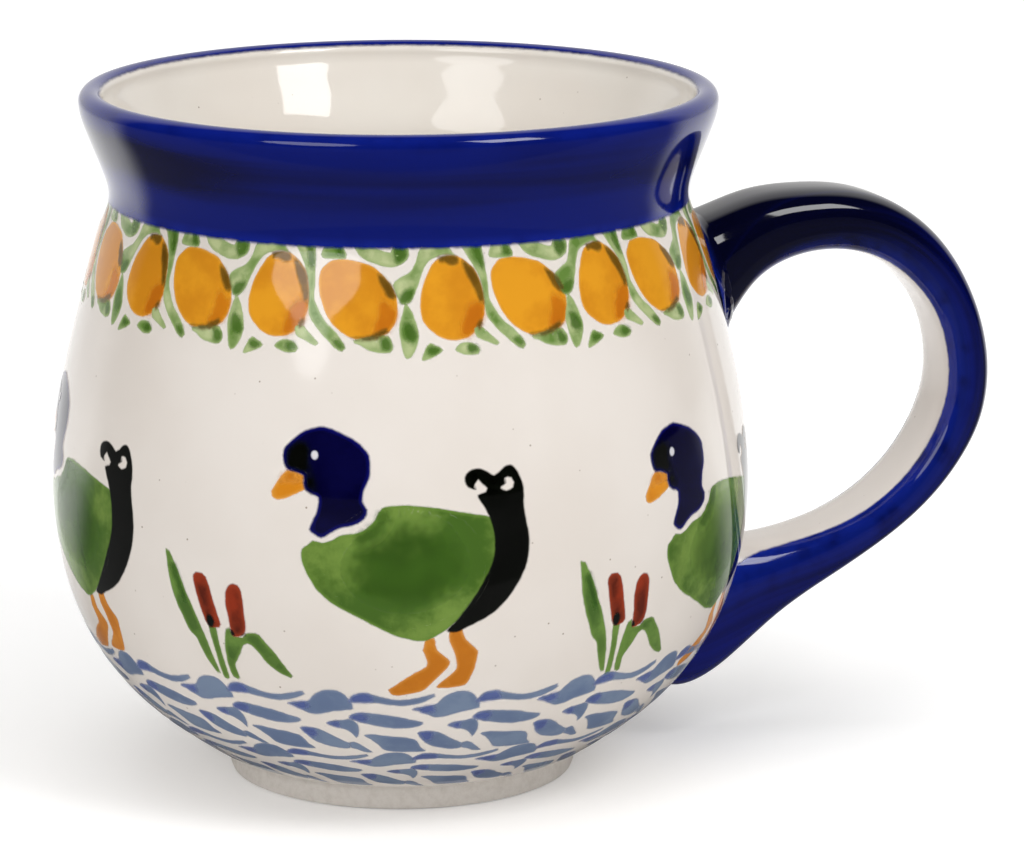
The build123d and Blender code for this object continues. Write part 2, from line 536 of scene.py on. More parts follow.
@dataclass(frozen=True)
class Paint(Surface):
    """A pigment under the glaze.

    Attributes:
        light: its tone where it is thin.
        dark: its tone in the pools.
        edge: its tone along its outline.
        rim_mm: how far in the edge tone reaches.
        pools: scale of the pools, per metre.
        strength: how much of the ground it hides.
        ragged: how uneven its edge is.
    """

    light: tuple = tone(128, 128, 128)
    dark: tuple = tone(100, 100, 100)
    edge: tuple = tone(120, 120, 120)
    rim_mm: float = 0.5
    pools: float = 150.0
    strength: float = 1.0
    ragged: float = 0.55

    def build(self, name: str, effects: Effects) -> bpy.types.Material:
        """The material. Its mesh holds the attributes cover and depth."""
        material, kit, shader = self.start(name, effects)
        tones = {"Light": self.light, "Dark": self.dark, "Edge": self.edge}
        wash = kit.group(effects.wash, **tones, Pools=self.pools, Rim=self.rim_mm)
        kit.put(shader.inputs["Base Color"], wash)
        edge = kit.group(effects.bleed, Cover=kit.attribute("cover"), Ragged=self.ragged)
        kit.put(shader.inputs["Alpha"], kit.maths("MULTIPLY", edge, self.strength))
        return material


class Pigment(Enum):
    """The colours on the painter's table."""

    COBALT = "cobalt"
    BLACK = "black"
    WHITE = "white"
    BEAK = "beak_orange"
    LEG = "leg_ochre"
    DUCK_GREEN = "duck_green"
    DUCK_SHADE = "duck_shade"
    REED = "reed_green"
    REED_SHADE = "reed_shade"
    CATTAIL = "cattail_brown"
    FRUIT = "fruit_orange"
    FRUIT_SHADE = "fruit_shade"
    OVERLAP = "overlap_brown"
    LEAF = "leaf_green"
    LEAF_SHADE = "leaf_shade"
    WATER = "water_blue"
    WATER_SHADE = "water_shade"


def washed(light: tuple, dark: tuple, edge: tuple, **more: float) -> Paint:
    """A paint from its three tones as displayed, 0 to 255.

    Args:
        light: red, green and blue where it is thin.
        dark: the same in the pools.
        edge: the same along its outline.
        **more: its other settings by name.

    Returns:
        The paint.
    """
    return Paint(light=tone(*light), dark=tone(*dark), edge=tone(*edge), **more)


PAINTS = {
    Pigment.COBALT: washed((6, 5, 52), (2, 1, 38), (12, 14, 100), rim_mm=0.6),
    Pigment.BLACK: washed((6, 7, 5), (2, 3, 1), (10, 13, 8)),
    Pigment.WHITE: washed((226, 222, 214), (214, 208, 200), (200, 200, 210)),
    Pigment.BEAK: washed((222, 148, 36), (206, 128, 28), (212, 148, 58)),
    Pigment.LEG: washed((208, 132, 38), (186, 110, 26), (200, 132, 54)),
    Pigment.DUCK_GREEN: washed((112, 140, 62), (66, 98, 32), (98, 130, 52), pools=95.0),
    Pigment.DUCK_SHADE: washed((50, 84, 20), (42, 72, 16), (58, 92, 28), strength=0.7, pools=220.0),
    Pigment.REED: washed((104, 136, 62), (70, 100, 42), (104, 134, 62), pools=190.0),
    Pigment.REED_SHADE: washed((48, 84, 24), (38, 72, 20), (56, 92, 30), strength=0.8),
    Pigment.CATTAIL: washed((140, 46, 20), (88, 28, 10), (146, 54, 28), pools=230.0, rim_mm=0.7),
    Pigment.FRUIT: washed((222, 152, 36), (206, 134, 30), (214, 150, 48)),
    Pigment.FRUIT_SHADE: washed((194, 112, 20), (182, 98, 18), (196, 116, 26), strength=0.85),
    Pigment.OVERLAP: washed((82, 64, 20), (58, 48, 14), (98, 76, 26), strength=0.85),
    Pigment.LEAF: washed((182, 192, 142), (98, 130, 60), (150, 170, 112), pools=240.0),
    Pigment.LEAF_SHADE: washed((72, 106, 36), (58, 92, 26), (80, 114, 44), strength=0.9),
    Pigment.WATER: washed((116, 132, 156), (98, 114, 144), (112, 126, 152), pools=120.0),
    Pigment.WATER_SHADE: washed((78, 90, 148), (66, 78, 138), (84, 96, 150), strength=0.75),
}


class Finishes:
    """Every material of the mug, built once."""

    def __init__(self) -> None:
        """Builds the shared effects and the materials."""
        effects = Effects()
        self.clay = BareClay().build("bare_stoneware", effects)
        self.clear = ClearGlaze().build("clear_glaze", effects)
        # The liner is the same clear glaze painted paler: painted light that brightens the shaded
        # inside of the cup. Its stronger rings are its own.
        liner = ClearGlaze(rings=0.9, ground=tone(236, 231, 223), drift=tone(231, 224, 215))
        self.liner = liner.build("liner_glaze", effects)
        self.cobalt = CobaltGlaze().build("cobalt_glaze", effects)
        # The handle's dark band covers most of its height, darkest high on the strap: partly pooled
        # cobalt, partly a painted dark reflection.
        handle = CobaltGlaze(
            blue=tone(7, 17, 98),
            deep=tone(3, 4, 28),
            thin=tone(18, 40, 146),
            band_at=66.0,
            band_reach=70.0,
            lengthwise=True,
        )
        self.cobalt_handle = handle.build("cobalt_handle", effects)
        self.paints = {
            pigment: paint.build(pigment.value, effects) for pigment, paint in PAINTS.items()
        }


# ---------------------------------------------------------------- the pot


@dataclass
class PotShape:
    """The pot's glazed outline, from the foot up the outside, over the lip and down to the floor.

    Attributes:
        height: top of the lip.
        belly_radius: the widest radius.
        foot_radius: outside of the bare foot ring.
        foot_height: where the glaze stops above the foot.
        waist_radius: the narrowest radius under the collar.
        waist_height: where the belly ends and the collar begins.
        rim_radius: outside of the lip.
        glaze: thickness of a coat.
        lip_radius: rounding of the lip.
        recess_radius: inside of the foot ring.
        recess_height: how deep the recess under the pot is.
        floor_height: the middle of the floor inside.
        cobalt_turn: how far round the lip the cobalt runs, in degrees from its outside.
        sample: spacing of the samples along a profile.
    """

    height: float = 90.0
    belly_radius: float = 45.2
    foot_radius: float = 22.6
    foot_height: float = 3.2
    waist_radius: float = 37.25
    waist_height: float = 76.4
    rim_radius: float = 40.9
    glaze: float = 0.3
    lip_radius: float = 1.5
    recess_radius: float = 18.6
    recess_height: float = 2.6
    floor_height: float = 6.3
    cobalt_turn: float = 156.0
    sample: float = 0.7

    @classmethod
    def from_frame(cls) -> PotShape:
        """The shape with its height and belly radius as the frame has them."""
        collar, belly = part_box("collar_glaze")[1] / MM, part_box("belly_glaze")[1] / MM
        return cls(height=round(collar.z, 2), belly_radius=round(belly.y, 2))

    def belly(self) -> np.ndarray:
        """From the foot to the waist."""
        points = [
            (self.foot_radius + self.glaze, self.foot_height),
            (27.3, 5.5),
            (35.4, 12.0),
            (42.5, 23.0),
            (self.belly_radius, 37.5),
            (43.7, 53.0),
            (40.4, 66.0),
            (38.25, 73.0),
            (self.waist_radius, self.waist_height),
        ]
        return spline(points, (1, 0.25), (0, 1), self.sample)

    def collar(self) -> np.ndarray:
        """From the waist to the lip."""
        top = self.height - self.lip_radius
        points = [
            (self.waist_radius, self.waist_height),
            (38.1, 80.0),
            (40.05, 85.0),
            (self.rim_radius, top),
        ]
        return spline(points, (0, 1), (0, 1), self.sample)

    def lip(self, start: float, end: float) -> np.ndarray:
        """Part of the rounded lip, between two angles in degrees from its outside."""
        turn = np.radians(np.linspace(start, end, max(4, round((end - start) / 8))))
        middle = np.array([self.rim_radius - self.lip_radius, self.height - self.lip_radius])
        return middle + self.lip_radius * np.column_stack([np.cos(turn), np.sin(turn)])

    def inside(self) -> np.ndarray:
        """From the lip down the inside to the middle of the floor."""
        points = [
            (self.rim_radius - 2 * self.lip_radius, self.height - self.lip_radius),
            (37.5, 87.2),
            (36.6, 85.0),
            (34.7, 80.4),
            (33.9, 76.9),
            (34.9, 72.5),
            (37.0, 66.0),
            (40.2, 53.0),
            (41.5, 38.0),
            (38.6, 23.0),
            (32.5, 13.0),
            (24.0, 8.0),
            (12.0, 6.5),
            (0.0, self.floor_height),
        ]
        return spline(points, (0, -1), (-1, 0), self.sample)

    def foot(self) -> np.ndarray:
        """The bare foot ring from the recess out to the glaze, with its edges rubbed round."""
        ring_out, ring_in = self.foot_radius, self.recess_radius
        points = [
            (ring_in, self.recess_height),
            (ring_in, 1.3),
            (ring_in + 0.2, 0.5),
            (ring_in + 0.7, 0.0),
            (ring_out - 0.8, 0.0),
            (ring_out - 0.25, 0.2),
            (ring_out, 0.8),
            (ring_out, self.foot_height - self.glaze),
        ]
        return np.array(points)

    def outer_radius(self, height: np.ndarray) -> np.ndarray:
        """Radius of the glazed outside of the belly at some heights."""
        line = self.belly()
        return np.interp(height, line[:, 1], line[:, 0])

    def drawing_line(self) -> tuple[np.ndarray, float]:
        """The outside that the drawing is wrapped on, and how much of it lies below y = 0."""
        line = np.vstack([self.belly(), self.collar()[1:10]])
        run = length_along(line)
        return line, float(np.interp(self.waist_height, line[:, 1], run)) - WAIST_IN_DRAWING


def swung(kit: NodeKit, vector: object, angle: object) -> bpy.types.NodeSocket:
    """A vector turned round the pot's axis.

    Args:
        kit: the tree to add to.
        vector: what is turned.
        angle: how far, counter-clockwise, in radians.

    Returns:
        The turned vector.
    """
    settings = {"rotation_type": "Z_AXIS"}
    return kit.add("ShaderNodeVectorRotate", vector, props=settings, Angle=angle).outputs[0]


def lathe_tree() -> bpy.types.NodeTree:
    """Geometry nodes that turn a profile, a chain of points in order, round the pot's axis."""
    kit, given, out = new_tree(
        "turned_on_the_wheel",
        "GeometryNodeTree",
        {"Profile": GEOMETRY, "Segments": INTEGER, "Weld": FLOAT, "Finish": MATERIAL},
        {"Mesh": GEOMETRY},
    )
    size = kit.add("GeometryNodeAttributeDomainSize", given["Profile"])
    rows = size.outputs["Point Count"]
    around = kit.maths("ADD", given["Segments"], 1.0)
    grid = kit.add("GeometryNodeMeshGrid", 1.0, 1.0, rows, around)
    place = kit.add("GeometryNodeInputPosition").outputs[0]
    across = kit.parted(place)
    last = kit.maths("SUBTRACT", rows, 1.0)
    row = kit.maths("ROUND", kit.maths("MULTIPLY", kit.maths("ADD", across[0], 0.5), last))
    turn = kit.maths("MULTIPLY", kit.maths("ADD", across[1], 0.5), 2 * math.pi)
    mesh = grid.outputs["Mesh"]
    for name in ("cover", "thin"):
        held = kit.add("GeometryNodeInputNamedAttribute", name, props={"data_type": "FLOAT"})
        value = held.outputs["Attribute"]
        picked = kit.add("GeometryNodeSampleIndex", given["Profile"], value, row).outputs[0]
        stored = kit.add("GeometryNodeStoreNamedAttribute", mesh, Name=name, Value=picked)
        mesh = stored.outputs[0]
    vectors = {"data_type": "FLOAT_VECTOR"}
    where = kit.add("GeometryNodeSampleIndex", given["Profile"], place, row, props=vectors)
    placed = kit.add("GeometryNodeSetPosition", mesh, Position=swung(kit, where.outputs[0], turn))
    welded = kit.add("GeometryNodeMergeByDistance", placed.outputs[0], Distance=given["Weld"])
    real = kit.add("GeometryNodeRealizeInstances", welded.outputs[0])
    dressed = kit.add("GeometryNodeSetMaterial", real.outputs[0], Material=given["Finish"])
    kit.put(out.inputs["Mesh"], dressed.outputs[0])
    return kit.tree


def wrap_tree() -> bpy.types.NodeTree:
    """Geometry nodes that stamp a flat motif in a row and wrap the row onto the pot's profile.

    The motif's x runs round the pot, its y up along the surface and its z out of it.
    """
    inputs = {"Motif": GEOMETRY, "Profile": OBJECT, "Count": INTEGER, "Seed": INTEGER}
    inputs |= dict.fromkeys(("Start", "Pitch", "Lift", "Sway", "Wander"), FLOAT)
    inputs |= dict.fromkeys(("Below", "Wrap Radius", "Front"), FLOAT)
    inputs |= {pigment.value: MATERIAL for pigment in Pigment}
    kit, given, out = new_tree(
        "stamped_round_the_pot", "GeometryNodeTree", inputs, {"Mesh": GEOMETRY}
    )
    row = kit.add("GeometryNodeMeshLine", props={"mode": "OFFSET"}, Count=given["Count"])
    kit.put(row.inputs["Start Location"], kit.joined(given["Start"], given["Lift"], 0.0))
    kit.put(row.inputs["Offset"], kit.joined(given["Pitch"], 0.0, 0.0))
    index = kit.add("GeometryNodeInputIndex").outputs[0]

    def chance(reach: object, offset: int) -> bpy.types.NodeSocket:
        """A number between minus reach and reach for each stamp."""
        node = kit.add("FunctionNodeRandomValue", props={"data_type": "FLOAT"}, ID=index)
        kit.put(node.inputs[2], kit.maths("MULTIPLY", reach, -1.0))
        kit.put(node.inputs[3], reach)
        kit.put(node.inputs["Seed"], kit.maths("ADD", given["Seed"], float(offset)))
        return node.outputs[1]

    drift = kit.joined(chance(given["Wander"], 1), chance(given["Wander"], 2), 0.0)
    spots = kit.add("GeometryNodeSetPosition", row.outputs[0], Offset=drift)
    tilt = kit.joined(0.0, 0.0, chance(given["Sway"], 3))
    stamped = kit.add("GeometryNodeInstanceOnPoints", spots.outputs[0], Instance=given["Motif"])
    kit.put(stamped.inputs["Rotation"], tilt)
    real = kit.add("GeometryNodeRealizeInstances", stamped.outputs[0])

    flat = kit.parted(kit.add("GeometryNodeInputPosition").outputs[0])
    line = kit.add("GeometryNodeObjectInfo", given["Profile"]).outputs["Geometry"]
    curve = kit.add("GeometryNodeMeshToCurve", line)
    sample = kit.add("GeometryNodeSampleCurve", curve.outputs[0], props={"mode": "LENGTH"})
    kit.put(sample.inputs["Length"], kit.maths("ADD", flat[1], given["Below"]))
    on_line = kit.parted(sample.outputs["Position"])
    along = kit.parted(sample.outputs["Tangent"])
    out_of = kit.joined(along[2], 0.0, kit.maths("MULTIPLY", along[0], -1.0))
    raised = kit.add("ShaderNodeVectorMath", out_of, props={"operation": "SCALE"}, Scale=flat[2])
    base = kit.joined(on_line[0], 0.0, on_line[2])
    spot = kit.add("ShaderNodeVectorMath", base, raised.outputs[0]).outputs[0]
    turn = kit.maths("ADD", kit.maths("DIVIDE", flat[0], given["Wrap Radius"]), given["Front"])
    marked = kit.add(
        "GeometryNodeStoreNamedAttribute",
        real.outputs[0],
        props={"data_type": "FLOAT_VECTOR"},
        Name="outward",
        Value=swung(kit, out_of, turn),
    )
    placed = kit.add("GeometryNodeSetPosition", marked.outputs[0], Position=swung(kit, spot, turn))
    mesh = kit.add("GeometryNodeRealizeInstances", placed.outputs[0]).outputs[0]
    used = kit.add("GeometryNodeInputNamedAttribute", "pigment", props={"data_type": "INT"})
    for number, pigment in enumerate(Pigment):
        same = kit.add("FunctionNodeCompare", props={"data_type": "INT", "operation": "EQUAL"})
        kit.put(same.inputs[2], used.outputs["Attribute"])
        kit.put(same.inputs[3], number)
        dressed = kit.add("GeometryNodeSetMaterial", mesh, same.outputs[0], given[pigment.value])
        mesh = dressed.outputs[0]
    kit.put(out.inputs["Mesh"], mesh)
    return kit.tree


def run_nodes(target: bpy.types.Object, tree: bpy.types.NodeTree, values: dict) -> None:
    """Runs a geometry node tree on an object and keeps the result as its plain mesh.

    Args:
        target: the object whose mesh the tree starts from.
        tree: the geometry node tree.
        values: the tree's inputs by name.
    """
    modifier = target.modifiers.new("shape", "NODES")
    modifier.node_group = tree
    sockets = {s.name: s.identifier for s in tree.interface.items_tree if s.in_out == "INPUT"}
    for label, value in values.items():
        modifier[sockets[label]] = value
    bpy.context.view_layer.update()
    graph = bpy.context.evaluated_depsgraph_get()
    made = bpy.data.meshes.new_from_object(target.evaluated_get(graph), depsgraph=graph)
    target.modifiers.remove(modifier)
    made.name = target.name
    target.data = made


def plain_object(
    name: str, vertices: np.ndarray, faces: list, edges: list | None = None
) -> bpy.types.Object:
    """A mesh object in metres from vertices in millimetres.

    Args:
        name: the object's name.
        vertices: one per row.
        faces: vertex numbers of each face.
        edges: vertex numbers of each loose edge, if there are any.

    Returns:
        The object, linked to the scene.
    """
    mesh = bpy.data.meshes.new(name)
    mesh.from_pydata((np.asarray(vertices, float) * MM).tolist(), edges or [], faces)
    made = bpy.data.objects.new(name, mesh)
    bpy.context.scene.collection.objects.link(made)
    return made


def set_values(mesh: bpy.types.Mesh, name: str, values: np.ndarray) -> None:
    """Writes one number per vertex as a mesh attribute.

    Args:
        mesh: the mesh.
        name: the attribute's name.
        values: the numbers, in the order of the vertices.
    """
    layer = mesh.attributes.get(name) or mesh.attributes.new(name, "FLOAT", "POINT")
    layer.data.foreach_set("value", np.asarray(values, np.float32))


def close_up(piece: bpy.types.Object, sharp_deg: float = 40.0) -> None:
    """Welds a closed shell, drops collapsed faces, turns faces outwards and shades it smooth."""
    work = bmesh.new()
    work.from_mesh(piece.data)
    bmesh.ops.remove_doubles(work, verts=work.verts, dist=WELD)
    bmesh.ops.dissolve_degenerate(work, edges=work.edges, dist=WELD / 10)
    loose = [e for e in work.edges if not e.link_faces]
    bmesh.ops.delete(work, geom=loose, context="EDGES")
    bmesh.ops.recalc_face_normals(work, faces=work.faces)
    if work.calc_volume(signed=True) < 0:
        bmesh.ops.reverse_faces(work, faces=work.faces)
    work.to_mesh(piece.data)
    work.free()
    piece.data.shade_smooth()
    piece.data.set_sharp_from_angle(angle=math.radians(sharp_deg))


def place(piece: bpy.types.Object, replaced: tuple[str, ...], slot: str | None) -> None:
    """Rides a finished piece on the body and hides the nodes that it stands for.

    Args:
        piece: the piece.
        replaced: the nodes that it stands for; none for decoration.
        slot: not used.
    """
    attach(piece, BODY)
    if replaced:
        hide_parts(*replaced)
    log.info("%s: %d faces", piece.name, len(piece.data.polygons))


@dataclass
class Pot:
    """The thrown pot and its coats.

    Attributes:
        shape: the outline.
        lathe: the node tree that turns a profile.
        segments: how many steps the lathe takes round the pot.
        lap_turn: how far round the lip the liner lies under the cobalt, in degrees.
        gap: between the clay and a coat.
        on_axis: points nearer the axis than this are put on it.
        proud: how far the cobalt stands over the clear glaze.
        crept: how far below the waist the cobalt reaches.
        crept_soft: how far its lower edge takes to close.
        faded: how far from its end on the lip the cobalt is half gone.
        faded_soft: how far it takes there to go from whole to gone.
        lip_thin: how thin it is on top of the lip, from 0 to 1.
    """

    shape: PotShape
    lathe: bpy.types.NodeTree
    segments: int = 288
    lap_turn: float = 30.0
    gap: float = 0.01
    on_axis: float = 0.05
    proud: float = 0.1
    crept: float = 0.6
    crept_soft: float = 0.6
    faded: float = 0.5
    faded_soft: float = 0.7
    lip_thin: float = 0.45

    def turn(
        self, name: str, chain: np.ndarray, finish: bpy.types.Material, **values: np.ndarray
    ) -> bpy.types.Object:
        """Turns a closed chain of points into a shell.

        Args:
            name: the piece's name.
            chain: radius and height, in order round the section.
            finish: its material.
            **values: attributes along the chain.

        Returns:
            The piece.
        """
        closed = np.vstack([chain, chain[:1]])
        points = np.column_stack([closed[:, 0], np.zeros(len(closed)), closed[:, 1]])
        edges = [(i, i + 1) for i in range(len(points) - 1)]
        piece = plain_object(name, points, [], edges)
        for label in ("cover", "thin"):
            given = values.get(label, np.zeros(len(chain)))
            set_values(piece.data, label, np.append(given, given[0]))
        inputs = {"Segments": self.segments, "Weld": WELD, "Finish": finish}
        run_nodes(piece, self.lathe, inputs)
        close_up(piece)
        return piece

    def coat(self, line: np.ndarray, proud: float = 0.0) -> np.ndarray:
        """The section of a coat whose outer face is a line, raised a little if it is proud."""
        return np.vstack([beside(line, -proud), beside(line, self.shape.glaze)[::-1]])

    def build(self, finishes: Finishes) -> None:
        """Makes and places every piece of the pot."""
        shape = self.shape
        over = shape.recess_height + shape.glaze
        lip = shape.lip(0, 180)[1:]
        line = np.vstack([shape.belly(), shape.collar()[1:], lip, shape.inside()[1:]])
        clay = beside(line, shape.glaze + self.gap)
        clay[-1, 0] = 0.0
        clay = np.vstack([clay, (0.0, over), (shape.recess_radius, over), shape.foot()])
        place(self.turn("thrown_pot", clay, finishes.clay), ("stoneware_body",), "stoneware")

        belly = self.coat(shape.belly())
        coated = self.turn("belly_clear_coat", belly, finishes.clear)
        place(coated, ("belly_glaze",), "clear_glaze")

        lip = shape.lip(shape.cobalt_turn - self.lap_turn, 180)
        liner = self.coat(np.vstack([lip, shape.inside()[1:]]))
        liner[np.abs(liner[:, 0]) < self.on_axis, 0] = 0.0
        coated = self.turn("liner_clear_coat", liner, finishes.liner)
        place(coated, ("liner_glaze",), "clear_glaze")

        under = shape.recess_height
        reach = shape.recess_radius
        disc = np.array([(0.0, under), (reach, under), (reach, over), (0.0, over)])
        coated = self.turn("foot_recess_coat", disc, finishes.clear)
        place(coated, ("base_glaze",), "clear_glaze")
        self.collar_coat(finishes)

    def collar_coat(self, finishes: Finishes) -> None:
        """The cobalt coat, which thins out at its lower edge and over the lip."""
        shape = self.shape
        below = shape.belly()[-5:]
        line = np.vstack([below[:-1], shape.collar(), shape.lip(0, shape.cobalt_turn)[1:]])
        run = length_along(line)
        from_start = run - length_along(below)[-1] + self.crept
        to_end = run[-1] - run
        closing, going = from_start / self.crept_soft, (to_end - self.faded) / self.faded_soft
        cover = 0.5 + np.minimum(closing, going)
        up_lip = (line[:, 1] - (shape.height - shape.lip_radius) + 0.6) / 1.6
        lip_thin = self.lip_thin * np.clip(up_lip, 0, 1)
        foot_thin = np.clip(1 - from_start / 1.3, 0, 1)
        thin = np.maximum(lip_thin, foot_thin)
        piece = self.turn(
            "collar_cobalt_coat",
            self.coat(line, self.proud),
            finishes.cobalt,
            cover=np.concatenate([cover, cover[::-1]]),
            thin=np.concatenate([thin, thin[::-1]]),
        )
        place(piece, ("collar_glaze",), "cobalt_glaze")


# ---------------------------------------------------------------- the handle


@dataclass
class Strap:
    """The pulled strap handle, luted to the pot at two roots.

    Each station pairs a place on the back (x, z) with the place on the grip side that faces it.

    Attributes:
        width: of the strap.
        stations: back x, back z, grip x, grip z.
        fullness: exponent of its oval sections; less is squarer.
        points: how many points go round a section.
        sample: spacing of the sections.
        flare: how much wider a root is on each side.
        flare_fall: how far from the root the flare falls to a third.
        bare: half the width that the cobalt leaves bare along the grip side.
        bare_more: how much more it leaves bare at the lower root.
        bare_fall: how far from that root this falls to a third.
        bare_far: how much more it leaves bare on the side away from the drawing's middle.
        proud: how far the cobalt stands over the clear glaze.
        sunk: how far the cobalt's underside lies in it.
        climb: how far a smear climbs the strap.
        spread: how far it spreads over the pot.
        creases: how deep its creases are.
        spare: share of a section's points, each way from the grip's middle, without cobalt.
        soft: how wide the cobalt's bled edge is.
        fading: how far round it takes to thicken at the upper root.
        fading_more: how much further it takes at the lower root.
    """

    width: float = 13.0
    stations: tuple = (
        (38.4, 70.4, 40.6, 52.0),
        (42.2, 71.6, 43.2, 56.2),
        (48.7, 73.6, 47.2, 62.0),
        (55.5, 74.1, 52.3, 65.0),
        (62.0, 73.5, 58.0, 65.8),
        (67.8, 71.3, 63.4, 64.8),
        (73.3, 67.0, 68.5, 61.7),
        (77.3, 61.2, 72.2, 57.3),
        (79.9, 54.5, 74.1, 52.2),
        (80.75, 48.5, 74.5, 47.7),
        (79.9, 42.3, 73.8, 43.7),
        (77.3, 37.0, 72.1, 39.7),
        (72.8, 31.5, 68.5, 34.8),
        (66.8, 26.6, 63.0, 30.6),
        (59.0, 21.7, 56.4, 28.1),
        (51.0, 16.6, 49.8, 27.0),
        (45.2, 11.8, 45.4, 27.0),
        (41.0, 8.9, 43.0, 27.2),
        (36.5, 7.9, 41.0, 27.4),
        (31.6, 10.4, 39.6, 27.4),
    )
    fullness: float = 0.66
    points: int = 60
    sample: float = 0.9
    flare: float = 1.5
    flare_fall: float = 5.0
    bare: float = 4.7
    bare_more: float = 5.6
    bare_fall: float = 15.0
    bare_far: float = 1.3
    proud: float = 0.12
    sunk: float = 0.15
    climb: float = 2.6
    spread: float = 2.2
    creases: float = 1.3
    spare: float = 0.09
    soft: float = 0.5
    fading: float = 3.5
    fading_more: float = 6.0

    def sections(self, lift: float = 0.0) -> np.ndarray:
        """Points of every section of the strap, its surface raised by lift.

        Args:
            lift: how far outside the clear glaze's surface.

        Returns:
            An array of sections, points and x, y, z. A section's points run from the middle of the
            grip side round the back and home.
        """
        lines = spline(list(self.stations), None, None, self.sample)
        back, grip = lines[:, :2], lines[:, 2:]
        across = back - grip
        thick = np.linalg.norm(across, axis=1)
        across /= thick[:, None]
        run = length_along((back + grip) / 2)
        near_root = np.exp(-np.minimum(run, run[-1] - run) / self.flare_fall)
        half = self.width / 2 + self.flare * near_root
        rings = []
        for i in range(len(lines)):
            ring = self.section(half[i], thick[i])
            normal = np.roll(ring, -1, axis=0) - np.roll(ring, 1, axis=0)
            normal /= np.linalg.norm(normal, axis=1, keepdims=True)
            ring = ring + lift * np.column_stack([normal[:, 1], -normal[:, 0]])
            x = grip[i, 0] + ring[:, 1] * across[i, 0]
            z = grip[i, 1] + ring[:, 1] * across[i, 1]
            rings.append(np.column_stack([x, ring[:, 0], z]))
        return np.array(rings)

    def section(self, half: float, thick: float) -> np.ndarray:
        """One section: y across the strap and height from the grip side, counter-clockwise."""
        turn = 2 * np.pi * np.arange(self.points) / self.points - np.pi / 2
        y, h = np.cos(turn), np.sin(turn)
        y, h = (np.sign(v) * np.abs(v) ** self.fullness for v in (y, h))
        return np.column_stack([half * y, thick / 2 * (1 + h)])

    def from_grip(self, rings: np.ndarray) -> np.ndarray:
        """How far round its section each point is from the middle of the grip side."""
        steps = np.linalg.norm(np.roll(rings, -1, axis=1) - rings, axis=2)
        ahead = np.cumsum(steps, axis=1) - steps
        return np.minimum(ahead, steps.sum(1, keepdims=True) - ahead)

    def bare_reach(self, count: int) -> np.ndarray:
        """How far round the grip side each section is bare, from the upper root down."""
        to_end = np.arange(count)[::-1] * self.sample
        return self.bare + self.bare_more * np.exp(-((to_end / self.bare_fall) ** 2))

    @staticmethod
    def shell(
        name: str,
        outer: np.ndarray,
        inner: np.ndarray | None,
        finish: bpy.types.Material,
        wrapped: bool = False,
    ) -> bpy.types.Object:
        """A closed mesh from rings of points.

        Args:
            name: the piece's name.
            outer: sections and points of its outside, closed rings if inner is None.
            inner: the same for its inside, or None for a solid strap.
            finish: its material.
            wrapped: whether a shell's sections are closed rings too.

        Returns:
            The piece, not yet placed.
        """
        rows, count = outer.shape[:2]
        vertices = outer.reshape(-1, 3)
        faces = []

        def quads(offset: int, closed: bool, flip: bool) -> None:
            """Adds the faces of one sheet of points."""
            for i in range(rows - 1):
                for j in range(count if closed else count - 1):
                    k = (j + 1) % count
                    quad = [i * count + j, (i + 1) * count + j, (i + 1) * count + k, i * count + k]
                    faces.append([offset + v for v in (quad[::-1] if flip else quad)])

        if inner is None:
            quads(0, True, False)
            for row in (0, rows - 1):
                faces.append([row * count + j for j in range(count)])
        else:
            total = rows * count
            vertices = np.vstack([vertices, inner.reshape(-1, 3)])
            quads(0, wrapped, False)
            quads(total, wrapped, True)
            first = list(range(count))
            last = [(rows - 1) * count + j for j in range(count)]
            if wrapped:
                rims = [first, last]
            else:
                right = [i * count + count - 1 for i in range(1, rows - 1)]
                left = [i * count for i in range(rows - 2, 0, -1)]
                rims = [first + right + last[::-1] + left]
            for rim in rims:
                for a, b in zip(rim, rim[1:] + rim[:1]):
                    faces.append([a, b, b + total, a + total])
        piece = plain_object(name, vertices, faces)
        piece.data.materials.append(finish)
        return piece

    def build(self, shape: PotShape, finishes: Finishes) -> None:
        """Makes and places the handle, its cobalt coat and the two luted joints."""
        rings = self.sections()
        grip = self.shell("strap_handle", rings, None, finishes.clear)
        close_up(grip)
        place(grip, ("handle", "handle_grip_glaze"), "clear_glaze")
        self.coat(finishes)
        for name, at_top in (("upper_luting", True), ("lower_luting", False)):
            self.luting(name, shape, rings, at_top, finishes)

    def coat(self, finishes: Finishes) -> None:
        """The cobalt on the back and sides, bleeding out along the grip side's two edges."""
        spare = int(self.points * self.spare)
        kept = np.arange(spare, self.points - spare + 1)
        outer, inner = (self.sections(lift) for lift in (self.proud, -self.sunk))
        reach = self.bare_reach(len(outer))[:, None] + self.bare_far * (outer[..., 1] > 0)
        depth = (self.from_grip(outer) - reach)[:, kept]
        sheets = outer[:, kept], inner[:, kept]
        piece = self.shell("handle_cobalt_coat", *sheets, finishes.cobalt_handle)
        cover = np.clip(0.5 + depth / self.soft, -0.5, 2.0)
        fading = self.fading + self.fading_more * np.linspace(0, 1, len(outer))[:, None]
        thin = np.clip(np.maximum(1.0 - depth, 0.75 - depth / fading), 0, 1)
        self.finish(piece, "handle_glaze", cover=cover, thin=thin, depth=depth)

